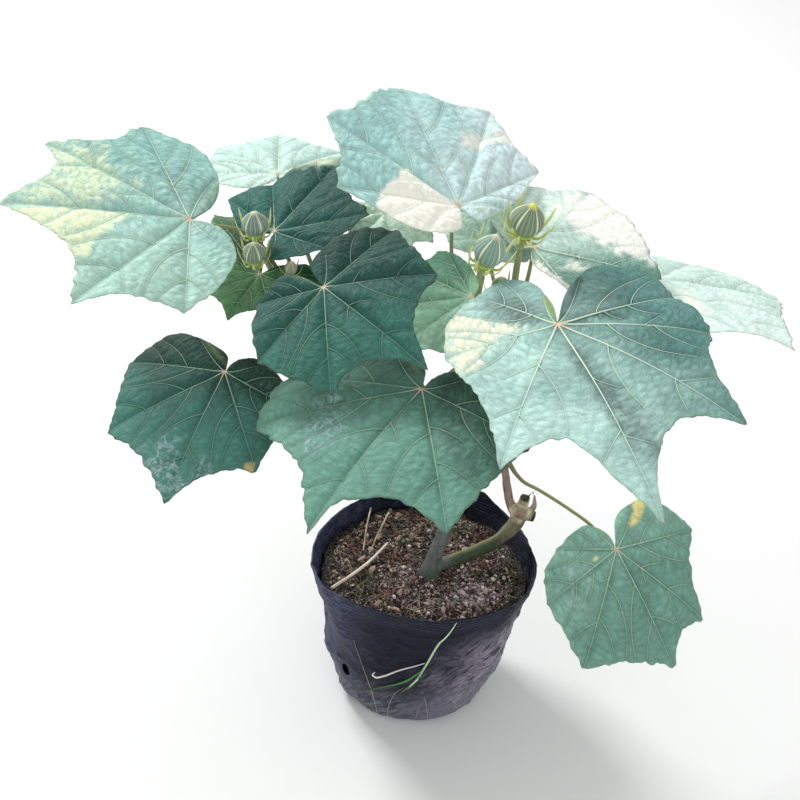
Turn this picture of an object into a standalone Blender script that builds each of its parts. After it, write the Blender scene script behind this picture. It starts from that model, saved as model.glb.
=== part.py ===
"""A cotton rose shrub (Hibiscus mutabilis) growing in a black nursery grow bag.

Frame: metres, +Z up, origin at the centre of the bag's flat base. The side
that is usually looked at faces -Y. Tables are in millimetres and degrees.
"""
import math

import bpy
import numpy as np
from mathutils import Matrix

MM = 0.001
GAP = 0.3 * MM
SHARP_ANGLE = math.radians(40)

# Grow bag: thin plastic film, wider at the mouth than at the base
BAG_HEIGHT = 130 * MM
BAG_MOUTH_RADIUS = 86 * MM
BAG_BASE_RADIUS = 57 * MM
BAG_WALL = 1.0 * MM
BAG_COLUMNS = 36
BAG_LEVELS = (0.012, 0.036, 0.060, 0.084, 0.108)
HEM_HEIGHT = 10 * MM
FOOT_SHARE = 0.94
DRAIN_HOLE_RADIUS = 5 * MM
DRAIN_HOLE_LEVEL = 42 * MM
DRAIN_HOLE_BEARINGS = (222, 42)

# Potting soil
SOIL_LEVEL = 115 * MM
SOIL_RINGS = 7

# Leaves
BLADE_THICKNESS = 0.8 * MM
BLADE_ROWS = 5
NOTCH_REACH = 3.5
PETIOLE_RADII = (2.0, 1.5, 1.4)

# Each leaf: where the veins meet (mm), the heading of its midrib (degrees
# from +X), how far that rises, how far the blade banks to one side, how fast
# it curves down (1/m), how high the blade swells between the main veins (mm).
# "tips" are the pointed lobes and "edge" the rounded points of the outline,
# each as (angle from the midrib, reach from the junction in mm).
SHAPED_LEAVES = {
    "leaf_far_left": dict(
        at=(-184, 0, 411), heading=199, rise=10, bank=-15, droop=0.6, swell=3,
        tips=((-79, 106), (-39, 122), (-4, 132), (43, 127), (80, 91)),
        edge=((-141, 23), (-125, 47), (-109, 73), (-61, 94), (-31, 105), (27, 98),
              (56, 97), (102, 65), (133, 41), (160, 22))),
    "leaf_top": dict(
        at=(5, 30, 423), heading=118, rise=23, bank=9, droop=0.2, swell=3,
        tips=((-71, 92), (-38, 119), (-3, 119), (38, 117), (74, 93)),
        edge=((-150, 16), (-105, 34), (-52, 94), (-23, 107), (6, 117), (26, 109),
              (51, 97), (87, 69), (116, 50), (160, 22))),
    "leaf_front_right": dict(
        at=(74, -100, 408), heading=281, rise=-3, bank=8, droop=2.9, swell=4,
        tips=((-140, 73), (-83, 79), (-29, 127), (11, 172), (47, 143), (84, 105), (109, 95)),
        edge=((-184, 24), (-172, 56), (-160, 70), (-112, 74), (-43, 91), (-12, 104), (4, 141),
              (15, 136), (31, 113), (67, 101), (132, 102), (147, 87), (158, 45))),
    "leaf_front": dict(
        at=(-12, -110, 355), heading=239, rise=-6, bank=4, droop=2.4, swell=3,
        tips=((-77, 103), (-50, 117), (1, 142), (40, 129), (86, 90)),
        edge=((-152, 24), (-129, 52), (-103, 80), (-21, 102), (5, 114), (15, 106), (26, 106), (54, 105),
              (112, 67), (152, 45), (172, 24))),
    "leaf_low_left": dict(
        at=(-151, -60, 324), heading=247, rise=-20, bank=4, droop=1.9, swell=2,
        tips=((-83, 79), (-41, 93), (5, 110), (42, 90), (78, 65)),
        edge=((-160, 14), (-136, 27), (-111, 59), (-59, 78), (-12, 88), (25, 85),
              (57, 74), (104, 39), (142, 22), (165, 12))),
    "leaf_centre": dict(
        at=(-84, -60, 399), heading=318, rise=-4, bank=27, droop=2.0, swell=3,
        tips=((-131, 49), (-88, 70), (-43, 86), (-2, 100), (47, 80), (88, 69)),
        edge=((-165, 32), (-107, 57), (-64, 73), (-31, 72), (-8, 82), (20, 68),
              (67, 67), (107, 55), (130, 38), (160, 22))),
    "leaf_inner_left": dict(
        at=(-126, 20, 396), heading=51, rise=20, bank=-5, droop=0.2, swell=2,
        tips=((-85, 50), (-47, 70), (7, 90), (46, 59), (80, 63)),
        edge=((-150, 16), (-143, 30), (-128, 36), (-108, 39), (-64, 59), (-12, 64), (28, 73),
              (96, 38), (130, 20))),
    "leaf_back_right": dict(
        at=(61, 20, 400), heading=45, rise=8, bank=7, droop=1.4, swell=3,
        tips=((-104, 50), (-56, 94), (15, 89), (60, 84), (86, 54)),
        edge=((-140, 17), (-73, 66), (-26, 84), (37, 73), (110, 26), (140, 14))),
    "leaf_far_right": dict(
        at=(158, 45, 368), heading=329, rise=0, bank=-13, droop=1.0, swell=3,
        tips=((-85, 72), (-41, 93), (-10, 120), (44, 103), (94, 77)),
        edge=((-160, 16), (-140, 38), (-112, 52), (-62, 76), (-26, 98), (16, 94), (66, 82),
              (118, 54), (142, 36), (162, 16))),
    "leaf_low_right": dict(
        at=(150, -20, 163), heading=312, rise=-38, bank=6, droop=2.4, swell=3,
        tips=((-115, 50), (-80, 75), (-45, 99), (2, 102), (31, 94), (80, 78)),
        edge=((-176, 12), (-153, 29), (-95, 67), (-62, 83), (-21, 88), (14, 84), (50, 68),
              (96, 67), (121, 50), (150, 24))),
    "leaf_bud_left": dict(
        at=(-134, 2, 370), heading=245, rise=-17, bank=0, droop=2.0, swell=2,
        tips=((-125, 86), (-80, 34), (-43, 40), (0, 46), (43, 38), (80, 27)),
        edge=((-160, 12), (-145, 56), (-106, 54), (-62, 32), (-22, 37), (22, 36), (62, 29), (106, 19), (132, 8))),
    "leaf_inner_centre": dict(
        at=(18, -40, 389), heading=165, rise=-14, bank=-20, droop=2.0, swell=3,
        tips=((-58, 60), (-30, 66), (5, 80), (43, 66), (86, 50)),
        edge=((-115, 8), (-84, 22), (-44, 56), (-12, 62), (24, 62), (65, 52),
              (115, 40), (142, 27), (162, 14))),
}

# Leaves that are mostly hidden share one even outline, as shares of their length
EVEN_TIPS = ((-88, 0.66), (-43, 0.86), (0, 1.0), (43, 0.86), (88, 0.66))
EVEN_EDGE = ((-165, 0.16), (-145, 0.36), (-118, 0.52), (-65, 0.68), (-22, 0.78),
             (22, 0.78), (65, 0.68), (118, 0.52), (145, 0.36), (165, 0.16))
EVEN_LEAVES = {
    "leaf_back_left": dict(at=(-132, 110, 397), heading=95, rise=0, bank=0, droop=2.0, swell=2, length=86),
    "leaf_under_top": dict(at=(-48, 45, 405), heading=285, rise=-8, bank=0, droop=2.0, swell=2, length=52),
    "leaf_behind_bud": dict(at=(31, 44, 388), heading=70, rise=15, bank=0, droop=1.0, swell=2, length=58),
}

# Stems and shoots: centre lines in mm with a radius at each point
WOODY_STEM = [
    dict(path=((5, -12, 62), (5.5, -12, 95), (6, -12, 113), (10, -12, 132), (16, -10, 157),
               (20, -6, 192), (20, 0, 230), (18, 4, 258)),
         radii=(6.0, 6.5, 7.6, 6.2, 5.8, 5.4, 5.0, 4.6), sides=10),
    dict(path=((12, -11, 126), (24, -6, 127), (44, 6, 130), (64, 18, 137), (74, 25, 147), (77, 27, 159)),
         radii=(5.2, 5.2, 5.0, 5.2, 6.4, 7.4), sides=8),
    dict(path=((77, 27, 155), (78, 28, 163), (79.5, 29, 171)), radii=(5.5, 4.8, 4.2), sides=8),
    dict(path=((77, 27, 156), (82, 25, 156), (88.5, 23, 155.5)), radii=(5.5, 5.0, 4.4), sides=8),
    dict(path=((82, 25, 158), (85, 23, 166), (85, 23, 182)), radii=(3, 2.2, 1.2), sides=6),
    dict(path=((74, 26, 153), (68.5, 28, 162), (64.2, 29, 177), (60, 29, 198)),
         radii=(5, 4.0, 3.4, 3.2), sides=8),
]
BURIED_TUBE = 0
SHOOTS = {
    "left_shoot": dict(path=((13.3, 2.4, 247), (9, 2.6, 247.5), (-14, 8, 284), (-50, 8, 322), (-95, 6, 350),
                             (-122, 5, 360)),
                       radii=(3.6, 3.6, 3.5, 3.2, 2.8, 2.2), sides=8),
    "centre_shoot": dict(path=((18, 4.05, 258.4), (17.7, 4.6, 262.4), (20, 6, 300), (22, 0, 340),
                               (23, -12, 372), (25, -16, 392)),
                         radii=(4.0, 4.0, 3.6, 3.2, 2.6, 2.0), sides=8),
    "right_shoot": dict(path=((59.9, 29, 198.4), (58.9, 29, 202.4), (57, 27, 230), (54, 20, 290),
                              (51, 12, 350), (50, 8, 378), (50.5, 5, 410)),
                        radii=(3.2, 3.2, 3.0, 2.8, 2.6, 2.5, 2.4), sides=8),
}
# Leaf stalks: the shoot each grows from and the points it passes before its leaf
PETIOLES = {
    "leaf_far_left": ("left_shoot", ((-112, 5, 357), (-122, 12, 369), (-140, 18, 390), (-166, 8, 403))),
    "leaf_inner_left": ("left_shoot", ((-100, 6, 352), (-112, 14, 372))),
    "leaf_back_left": ("left_shoot", ((-85, 7, 344), (-104, 45, 368), (-125, 92, 382))),
    "leaf_bud_left": ("left_shoot", ((-114, 5, 357), (-126, 3, 358))),
    "leaf_low_left": ("left_shoot", ((-14, 8, 284), (-60, -14, 292), (-108, -34, 300), (-136, -50, 312))),
    "leaf_centre": ("left_shoot", ((-50, 8, 322), (-66, -16, 350), (-80, -46, 382))),
    "leaf_top": ("centre_shoot", ((21, 3, 320), (8, 16, 362), (2, 25, 398))),
    "leaf_front": ("centre_shoot", ((20, 5, 300), (12, -30, 322), (0, -80, 340))),
    "leaf_inner_centre": ("centre_shoot", ((22, -4, 350), (21, -22, 368))),
    "leaf_under_top": ("centre_shoot", ((20, 6, 296), (-12, 24, 345), (-42, 44, 382))),
    "leaf_front_right": ("right_shoot", ((54, 20, 292), (60, -20, 345), (72, -76, 388))),
    "leaf_back_right": ("right_shoot", ((52, 14, 340), (60, 20, 376))),
    "leaf_far_right": ("right_shoot", ((54, 20, 285), (90, 30, 315), (138, 42, 348))),
    "leaf_low_right": ("right_shoot", ((58.5, 29, 205), (64, 27, 201.5), (68.5, 25.5, 195.5), (74, 22.5, 191),
                                       (88, 15, 188), (112, 1, 182), (130, -9, 175))),
    "leaf_behind_bud": ("right_shoot", ((54, 20, 290), (44, 32, 340), (33, 42, 370))),
}

# Flower buds: foot of the calyx (mm), lean of its axis, radius, height, bracts,
# and the stalk that carries it
BUDS = {
    "bud_left_upper": dict(foot=(-138, 4, 400), lean=(-0.06, -0.05), radius=9.5, height=20, ribs=9, bracts=8,
                           spread=1.3, stalk=("left_shoot", ((-118, 5, 358), (-129, 12, 372),
                                                             (-133, 10, 385)), 1.8)),
    "bud_left_lower": dict(foot=(-136, -16, 390), lean=(-0.05, -0.25), radius=8, height=18, ribs=9, bracts=8,
                           spread=1.28, stalk=("left_shoot", ((-119, 5, 359), (-127, 10, 372),
                                                              (-131, 5, 382)), 1.6)),
    "bud_middle": dict(foot=(25, -18, 403), lean=(0.28, -0.15), radius=11, height=28, ribs=10, bracts=9,
                       spread=1.33, stalk=("centre_shoot", ((24, -15, 386),), 2.2)),
    "bud_top_right": dict(foot=(51, 4, 418), lean=(0.2, -0.2), radius=12, height=28, ribs=10, bracts=10,
                          spread=1.4, stalk=("right_shoot", ((50.5, 5, 406),), 2.6)),
    "bud_small_middle": dict(foot=(40, -4, 372), lean=(-0.05, -0.3), radius=7, height=18, ribs=6, bracts=6,
                             spread=1.4, stalk=("right_shoot", ((52, 13, 345), (42, 2, 360)), 1.6)),
    "bud_small_left": dict(foot=(-111, -12, 380), lean=(0.1, -0.3), radius=4.5, height=13, ribs=6, bracts=6,
                           spread=1.5, stalk=("left_shoot", ((-96, 6, 351), (-103, -4, 362)), 1.4)),
}
CALYX_RINGS = 6
RECEPTACLE = 2.2
BRACT_RADII = (1.0, 1.2, 0.9, 0.4)

# Dry stalks on the soil, as (x, y) points in mm with the clearance of each above
# the soil, and a radius; and the grass sprig that clings to the bag's side, as
# (bearing in degrees, height in mm)
DRY_STALKS = {
    "pale_straw": dict(path=((-68, -35, 0.5), (-56, -26, 2.0), (-42, -8, 3.0), (-27, 24, 0.5)), radius=1.4),
    "dry_stalk_left": dict(path=((-43, 62, 9.0), (-45, 38, 4.0), (-46, 13, 0.4)), radius=1.1),
    "dry_stalk_middle": dict(path=((-28, 54, 8.0), (-35, 33, 4.0), (-41, 11, 0.3)), radius=1.1),
}
GRASS_SPRIG = [((290, 126), (283, 104), (277, 78), (273, 60)), ((275, 70), (266, 57), (254, 46), (242, 36))]
GRASS_RADIUS = 0.8
GRASS_CLEARANCE = 0.9

MATERIALS = {
    "blade_green": ((0.10, 0.24, 0.17), 0.6),
    "blade_pale": ((0.30, 0.50, 0.42), 0.6),
    "shoot_green": ((0.22, 0.28, 0.16), 0.6),
    "bark": ((0.09, 0.09, 0.07), 0.8),
    "calyx_green": ((0.28, 0.36, 0.25), 0.6),
    "bract_green": ((0.40, 0.46, 0.18), 0.6),
    "bag_film": ((0.012, 0.014, 0.022), 0.45),
    "potting_soil": ((0.07, 0.055, 0.045), 0.95),
    "straw": ((0.45, 0.40, 0.33), 0.8),
    "grass_green": ((0.12, 0.30, 0.06), 0.6),
}
PALE_LEAVES = ("leaf_far_left", "leaf_top", "leaf_front_right", "leaf_back_right", "leaf_far_right",
               "leaf_back_left")


def clear_scene():
    for old in list(bpy.data.objects):
        bpy.data.objects.remove(old, do_unlink=True)


def material(name):
    found = bpy.data.materials.get(name)
    if found:
        return found
    colour, roughness = MATERIALS[name]
    made = bpy.data.materials.new(name)
    made.use_nodes = True
    shader = made.node_tree.nodes["Principled BSDF"]
    shader.inputs["Base Color"].default_value = (*colour, 1.0)
    shader.inputs["Roughness"].default_value = roughness
    shader.inputs["Metallic"].default_value = 0.0
    return made


def add_object(name, points, faces, material_name):
    mesh = bpy.data.meshes.new(name)
    mesh.from_pydata([tuple(map(float, p)) for p in points], [], [tuple(map(int, f)) for f in faces])
    mesh.shade_smooth()
    mesh.set_sharp_from_angle(angle=SHARP_ANGLE)
    mesh.materials.append(material(material_name))
    made = bpy.data.objects.new(name, mesh)
    bpy.context.scene.collection.objects.link(made)
    return made


def bake_modifiers(made):
    """Replace the object's mesh with the result of its modifiers."""
    bpy.context.view_layer.update()
    shaped = made.evaluated_get(bpy.context.evaluated_depsgraph_get())
    mesh = bpy.data.meshes.new_from_object(shaped)
    made.modifiers.clear()
    made.data = mesh


def fuse(made, others):
    """Join the other solids to this one in a single Boolean union."""
    if not others:
        return made
    group = bpy.data.collections.new(made.name + "_repeats")
    bpy.context.scene.collection.children.link(group)
    for other in others:
        bpy.context.scene.collection.objects.unlink(other)
        group.objects.link(other)
    union = made.modifiers.new("union", "BOOLEAN")
    union.operation = "UNION"
    union.operand_type = "COLLECTION"
    union.solver = "EXACT"
    union.collection = group
    bake_modifiers(made)
    for other in others:
        bpy.data.objects.remove(other, do_unlink=True)
    bpy.data.collections.remove(group)
    return made


def cut(made, cutter):
    """Take the cutter out of the solid and remove the cutter."""
    hole = made.modifiers.new("cut", "BOOLEAN")
    hole.operation = "DIFFERENCE"
    hole.solver = "EXACT"
    hole.object = cutter
    bake_modifiers(made)
    bpy.data.objects.remove(cutter, do_unlink=True)


def smooth_spans(points, steps):
    """A smooth curve through the points, each span cut into equal steps.

    The slope at a point is the mean of the slopes of its two spans, the
    shorter span counting more; the ends leave straight along their span.
    """
    pts = np.array(points, float)
    chords = np.diff(pts, axis=0)
    lengths = np.linalg.norm(chords, axis=1)[:, None]
    slopes = chords / lengths
    inner = (slopes[:-1] * lengths[1:] + slopes[1:] * lengths[:-1]) / (lengths[:-1] + lengths[1:])
    slopes = np.vstack([slopes[:1], inner, slopes[-1:]])
    t = np.linspace(0, 1, steps + 1)[:-1, None]
    spans = []
    for i, length in enumerate(lengths):
        a, b = pts[i], pts[i + 1]
        m, n = slopes[i] * length, slopes[i + 1] * length
        spans.append((2 * t**3 - 3 * t**2 + 1) * a + (t**3 - 2 * t**2 + t) * m
                     + (3 * t**2 - 2 * t**3) * b + (t**3 - t**2) * n)
    return np.vstack(spans + [pts[-1:]])


def even_curve(points, samples):
    """The same curve resampled at even steps of its length."""
    dense = smooth_spans(points, 12)
    run = np.concatenate([[0], np.cumsum(np.linalg.norm(np.diff(dense, axis=0), axis=1))])
    want = np.linspace(0, run[-1], samples)
    return np.stack([np.interp(want, run, column) for column in dense.T], -1)


def polar_point(angle, reach):
    a = math.radians(angle)
    return (reach * MM * math.cos(a), reach * MM * math.sin(a))


def leaf_sectors(leaf, samples):
    """The margin in stretches from one main vein to the next, notch to notch round the apex."""
    if "length" in leaf:
        tips = [(angle, share * leaf["length"]) for angle, share in EVEN_TIPS]
        edge = [(angle, share * leaf["length"]) for angle, share in EVEN_EDGE]
    else:
        tips, edge = leaf["tips"], leaf["edge"]
    notch_angle = 8
    ends = [(edge[0][0] - notch_angle, NOTCH_REACH), *tips, (edge[-1][0] + notch_angle, NOTCH_REACH)]
    stretches = []
    for first, last in zip(ends[:-1], ends[1:]):
        between = [p for p in edge if first[0] < p[0] < last[0]]
        stretches.append(even_curve([polar_point(*p) for p in (first, *between, last)], samples))
    return stretches


def blade_grid(leaf, rows):
    """Triangular patches of the flat blade, one for each sector.

    Row j of a patch has j + 1 points, so the junction is one point and the
    margin has rows + 1. Returns the points as (x, y, share of the way to the
    margin, share of the way from vein to vein) and the triangles.
    """
    sectors = leaf_sectors(leaf, 8 * rows + 1)
    index = {}
    points = []

    def vertex(sector, row, column):
        if row == 0:
            key = (0, 0, 0)
        elif column == row and sector < len(sectors) - 1:
            key = (sector + 1, row, 0)
        else:
            key = (sector, row, column)
        if key not in index:
            index[key] = len(points)
            sector, row, column = key
            out = row / rows
            across = column / row if row else 0.0
            x, y = sectors[sector][round(across * 8 * rows)] * out
            points.append((x, y, out, across))
        return index[key]

    faces = []
    for sector in range(len(sectors)):
        for row in range(1, rows + 1):
            for column in range(row):
                inner = vertex(sector, row - 1, column)
                corner = vertex(sector, row, column + 1)
                faces.append((inner, vertex(sector, row, column), corner))
                if column < row - 1:
                    faces.append((inner, corner, vertex(sector, row - 1, column + 1)))
    return np.array(points), np.array(faces)


def blade_surface(leaf, points):
    """Bend the flat blade down all round like a shallow dome and swell it between its veins."""
    reach = np.hypot(points[:, 0], points[:, 1])
    angle = np.arctan2(points[:, 1], points[:, 0])
    ahead = np.stack([np.cos(angle), np.sin(angle), 0 * angle], -1)
    up = np.array([0.0, 0.0, 1.0])
    droop = max(leaf["droop"], 0.01)
    turn = (droop * reach)[:, None]
    swell = (leaf["swell"] * MM * np.sin(np.pi * points[:, 3]) * points[:, 2])[:, None]
    return (ahead * np.sin(turn) / droop - up * (1 - np.cos(turn)) / droop
            + swell * (up * np.cos(turn) + ahead * np.sin(turn)))


def point_normals(points, faces):
    a, b, c = (points[faces[:, i]] for i in range(3))
    face_normals = np.cross(b - a, c - a)
    normals = np.zeros_like(points)
    for i in range(3):
        np.add.at(normals, faces[:, i], face_normals)
    return normals / np.linalg.norm(normals, axis=1)[:, None]


def rim_loop(faces):
    """The open edges of a patch, in the direction its faces run."""
    edges = {(a, b) for f in faces for a, b in ((f[0], f[1]), (f[1], f[2]), (f[2], f[0]))}
    return [(a, b) for a, b in edges if (b, a) not in edges]


def thick_sheet(points, faces, thickness):
    """Two offset copies of a sheet, triangulated alike and joined round the rim."""
    normals = point_normals(points, faces)
    half = 0.5 * thickness * normals
    count = len(points)
    walls = []
    for a, b in sorted(rim_loop(faces)):
        walls += [(b, a, a + count), (b, a + count, b + count)]
    return np.vstack([points + half, points - half]), [*faces, *(faces[:, ::-1] + count), *walls]


def leaf_matrix(leaf):
    """The blade's own frame: midrib along X, left half along Y, upper face along Z."""
    heading, rise, bank = (math.radians(leaf[key]) for key in ("heading", "rise", "bank"))
    ahead = np.array([math.cos(heading) * math.cos(rise), math.sin(heading) * math.cos(rise), math.sin(rise)])
    level = np.array([-math.sin(heading), math.cos(heading), 0.0])
    above = np.cross(ahead, level)
    side = level * math.cos(bank) + above * math.sin(bank)
    up = above * math.cos(bank) - level * math.sin(bank)
    matrix = Matrix.Identity(4)
    for row in range(3):
        matrix[row][0], matrix[row][1], matrix[row][2] = ahead[row], side[row], up[row]
        matrix[row][3] = leaf["at"][row] * MM
    return matrix


def make_leaf(name, leaf):
    points, faces = blade_grid(leaf, BLADE_ROWS)
    points, faces = thick_sheet(blade_surface(leaf, points), faces, BLADE_THICKNESS)
    made = add_object(name, points, faces, "blade_pale" if name in PALE_LEAVES else "blade_green")
    made.matrix_world = leaf_matrix(leaf)
    return made


def ring_frames(line):
    """Two directions across the line at each point, carried along it without twist."""
    along = np.gradient(line, axis=0)
    along /= np.linalg.norm(along, axis=1)[:, None]
    guide = np.array([0.0, 0.0, 1.0]) if abs(along[0][2]) < 0.8 else np.array([1.0, 0.0, 0.0])
    across = []
    for direction in along:
        guide = guide - direction * guide.dot(direction)
        guide /= np.linalg.norm(guide)
        across.append(guide)
    across = np.array(across)
    return across, np.cross(along, across)


def tube(path, radii, sides, span_steps=2):
    """A round closed tube along a smooth curve, its radius running through the given values."""
    line = smooth_spans(np.array(path) * MM, span_steps)
    share = np.linspace(0, 1, len(line))
    size = np.interp(share, np.linspace(0, 1, len(radii)), np.array(radii) * MM)
    first, second = ring_frames(line)
    turn = np.linspace(0, 2 * np.pi, sides, endpoint=False)
    rings = (line[:, None] + size[:, None, None] * (first[:, None] * np.cos(turn)[None, :, None]
                                                    + second[:, None] * np.sin(turn)[None, :, None]))
    return close_rings(rings, line[0], line[-1])


def close_rings(rings, foot, head):
    """Triangles round a stack of rings, closed by a fan at each end.

    Each four-sided cell is split from its lower left to its upper right corner
    whichever way the stack runs, so nested walls have the same creases.
    """
    levels, sides = rings.shape[:2]
    points = np.vstack([rings.reshape(-1, 3), foot, head])
    faces = []
    for level in range(levels - 1):
        rising = rings[level + 1, :, 2].mean() >= rings[level, :, 2].mean()
        for side in range(sides):
            a = level * sides + side
            b = level * sides + (side + 1) % sides
            if rising:
                faces += [(a, b, b + sides), (a, b + sides, a + sides)]
            else:
                faces += [(a, b, a + sides), (b, b + sides, a + sides)]
    foot_index, head_index = len(points) - 2, len(points) - 1
    top = (levels - 1) * sides
    for side in range(sides):
        after = (side + 1) % sides
        faces += [(foot_index, after, side), (head_index, top + side, top + after)]
    return points, faces


def tube_object(name, material_name, **shape):
    points, faces = tube(**shape)
    return add_object(name, points, faces, material_name)


def all_leaves():
    return {**SHAPED_LEAVES, **EVEN_LEAVES}


def petiole_path(leaf, points):
    """The stalk's own points, then straight up to the underside of the blade."""
    matrix = leaf_matrix(leaf)
    up = np.array(matrix.col[2][:3])
    at = np.array(leaf["at"], float)
    seat = (BLADE_THICKNESS / 2 + GAP) / MM
    return (*points, tuple(at - up * 8), tuple(at - up * 4), tuple(at - up * seat))


def make_woody_stem():
    tubes = [tube_object(f"woody_stem_{i}", "bark", **shape) for i, shape in enumerate(WOODY_STEM)]
    tubes[0].name = "woody_stem"
    fuse(tubes[0], tubes[1:])


def make_shoot(name, shape):
    leaves = all_leaves()
    others = []
    for leaf_name, (shoot, points) in PETIOLES.items():
        if shoot == name:
            path = petiole_path(leaves[leaf_name], points)
            others.append(tube_object(leaf_name + "_stalk", "shoot_green", path=path, radii=PETIOLE_RADII,
                                      sides=5, span_steps=2))
    for bud_name, bud in BUDS.items():
        shoot, points, radius = bud["stalk"]
        if shoot == name:
            foot, axis = np.array(bud["foot"], float), bud_axis(bud)
            end = foot - axis * (RECEPTACLE + 2 * GAP / MM)
            path = (*points, tuple(end - axis * 4), tuple(end))
            others.append(tube_object(bud_name + "_stalk", "shoot_green", path=path, radii=(radius, radius),
                                      sides=5, span_steps=1))
    fuse(tube_object(name, "shoot_green", **shape), others)


def bud_axis(bud):
    axis = np.array([bud["lean"][0], bud["lean"][1], 1.0])
    return axis / np.linalg.norm(axis)


def bud_frame(bud):
    axis = bud_axis(bud)
    first = np.cross([0.0, 1.0, 0.0], axis)
    first /= np.linalg.norm(first)
    return np.array(bud["foot"]) * MM, first, np.cross(axis, first), axis


def make_calyx(name, bud):
    """An egg-shaped bud with raised ribs, pointed at its top."""
    foot, first, second, axis = bud_frame(bud)
    ribs = bud["ribs"]
    turn = np.linspace(0, 2 * np.pi, 2 * ribs, endpoint=False)
    share = np.linspace(0, 1, CALYX_RINGS + 2)[1:-1]
    profile = np.sin(np.pi * share**0.82)**0.8
    radius = bud["radius"] * MM * profile[:, None] * (1 + 0.05 * np.cos(ribs * turn))[None, :]
    level = bud["height"] * MM * share
    rings = (foot + first * (radius * np.cos(turn))[..., None] + second * (radius * np.sin(turn))[..., None]
             + axis * level[:, None, None])
    points, faces = close_rings(rings, foot, foot + axis * bud["height"] * MM)
    add_object(name, points, faces, "calyx_green")


def make_bracts(name, bud):
    """Narrow bracts that leave a small disc under the calyx and curve up round it."""
    foot, first, second, axis = bud_frame(bud)
    size, height = bud["radius"], bud["height"]
    disc_radius = 0.42 * size
    base = foot / MM - axis * (GAP / MM)
    disc = tube_object(name, "bract_green", path=(tuple(base - axis * RECEPTACLE), tuple(base - axis * 0.2)),
                       radii=(0.6 * disc_radius, disc_radius), sides=8, span_steps=1)
    others = []
    for i in range(bud["bracts"]):
        turn = 2 * math.pi * i / bud["bracts"]
        out = first * math.cos(turn) + second * math.sin(turn)
        flare = 1.0 + 0.12 * math.sin(2.4 * i)
        stations = ((0.2, -1.1), (0.9, -1.0), (bud["spread"] * flare, 0.34 * height),
                    (1.14 * bud["spread"] * flare, 0.88 * height * flare))
        path = [tuple(base + out * reach * size + axis * level) for reach, level in stations]
        others.append(tube_object(f"{name}_{i}", "bract_green", path=path, radii=BRACT_RADII, sides=3,
                                  span_steps=1))
    fuse(disc, others)


def bag_radius(turn, level, inset=0.0):
    """Radius of the bag's outside: a cone with a rounded foot, a slightly oval mouth and soft creases."""
    share = level / BAG_HEIGHT
    cone = BAG_BASE_RADIUS + (BAG_MOUTH_RADIUS - BAG_BASE_RADIUS) * share**0.72
    oval = (2.5 * np.cos(turn) + 3.5 * np.cos(2 * turn)) * MM * share
    creases = (1.3 * np.sin(5 * turn + 9 * share) + 0.9 * np.sin(9 * turn - 14 * share + 1.0)) * MM
    creases = creases * np.sin(np.pi * np.clip(share, 0, 1))**0.5
    return cone + oval + creases - inset


def bag_rings(levels, inset, lift=0.0):
    turn = np.linspace(0, 2 * np.pi, BAG_COLUMNS, endpoint=False)
    radius = np.stack([bag_radius(turn, level, inset) for level in levels])
    height = np.array(levels)[:, None] + lift + 0 * radius
    return np.stack([radius * np.cos(turn), radius * np.sin(turn), height], -1)


def make_bag():
    """A film bag: up the outside, over a folded hem and down the inside to its floor."""
    outer = bag_rings([0.0, *BAG_LEVELS, BAG_HEIGHT - HEM_HEIGHT], 0.0)
    outer[0][:, :2] *= FOOT_SHARE
    hem = bag_rings([BAG_HEIGHT - HEM_HEIGHT + 0.001, BAG_HEIGHT], -0.6 * MM)
    inner = bag_rings([BAG_HEIGHT, *BAG_LEVELS[::-1]], BAG_WALL)
    floor = bag_rings([0.0], BAG_WALL, lift=BAG_WALL)
    floor[0][:, :2] *= FOOT_SHARE
    rings = np.vstack([outer, hem, inner, floor])
    points, faces = close_rings(rings, (0, 0, 0), (0, 0, BAG_WALL))
    bag = add_object("grow_bag", points, faces, "bag_film")
    for bearing in DRAIN_HOLE_BEARINGS:
        turn = math.radians(bearing)
        reach = float(bag_radius(turn, DRAIN_HOLE_LEVEL)) / MM
        level = DRAIN_HOLE_LEVEL / MM
        path = [(reach_here * math.cos(turn), reach_here * math.sin(turn), level)
                for reach_here in (reach - 4, reach + 4)]
        cutter = tube_object("drain_cutter", "bag_film", path=path, radii=(DRAIN_HOLE_RADIUS / MM,) * 2,
                             sides=12, span_steps=1)
        cut(bag, cutter)


def soil_height(x, y):
    """Level of the soil: gentle waves, a heap by the trunk's foot and a few lumps (metres)."""
    u, v = x / MM, y / MM
    waves = 1.3 * np.sin(0.075 * u + 0.5) * np.cos(0.06 * v) + 0.9 * np.sin(0.14 * u - 0.11 * v)
    heap = 3.0 * np.exp(-((u - 8)**2 + (v + 10)**2) / 18**2)
    lumps = (2.6 * np.exp(-((u - 52)**2 + (v + 30)**2) / 14**2)
             + 2.0 * np.exp(-((u - 30)**2 + (v + 48)**2) / 11**2)
             + 2.2 * np.exp(-((u - 4)**2 + (v - 22)**2) / 10**2))
    sunk_edge = 5.0 * (np.hypot(u, v) / 84)**6
    return SOIL_LEVEL + (waves + heap + lumps - sunk_edge) * MM


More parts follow.
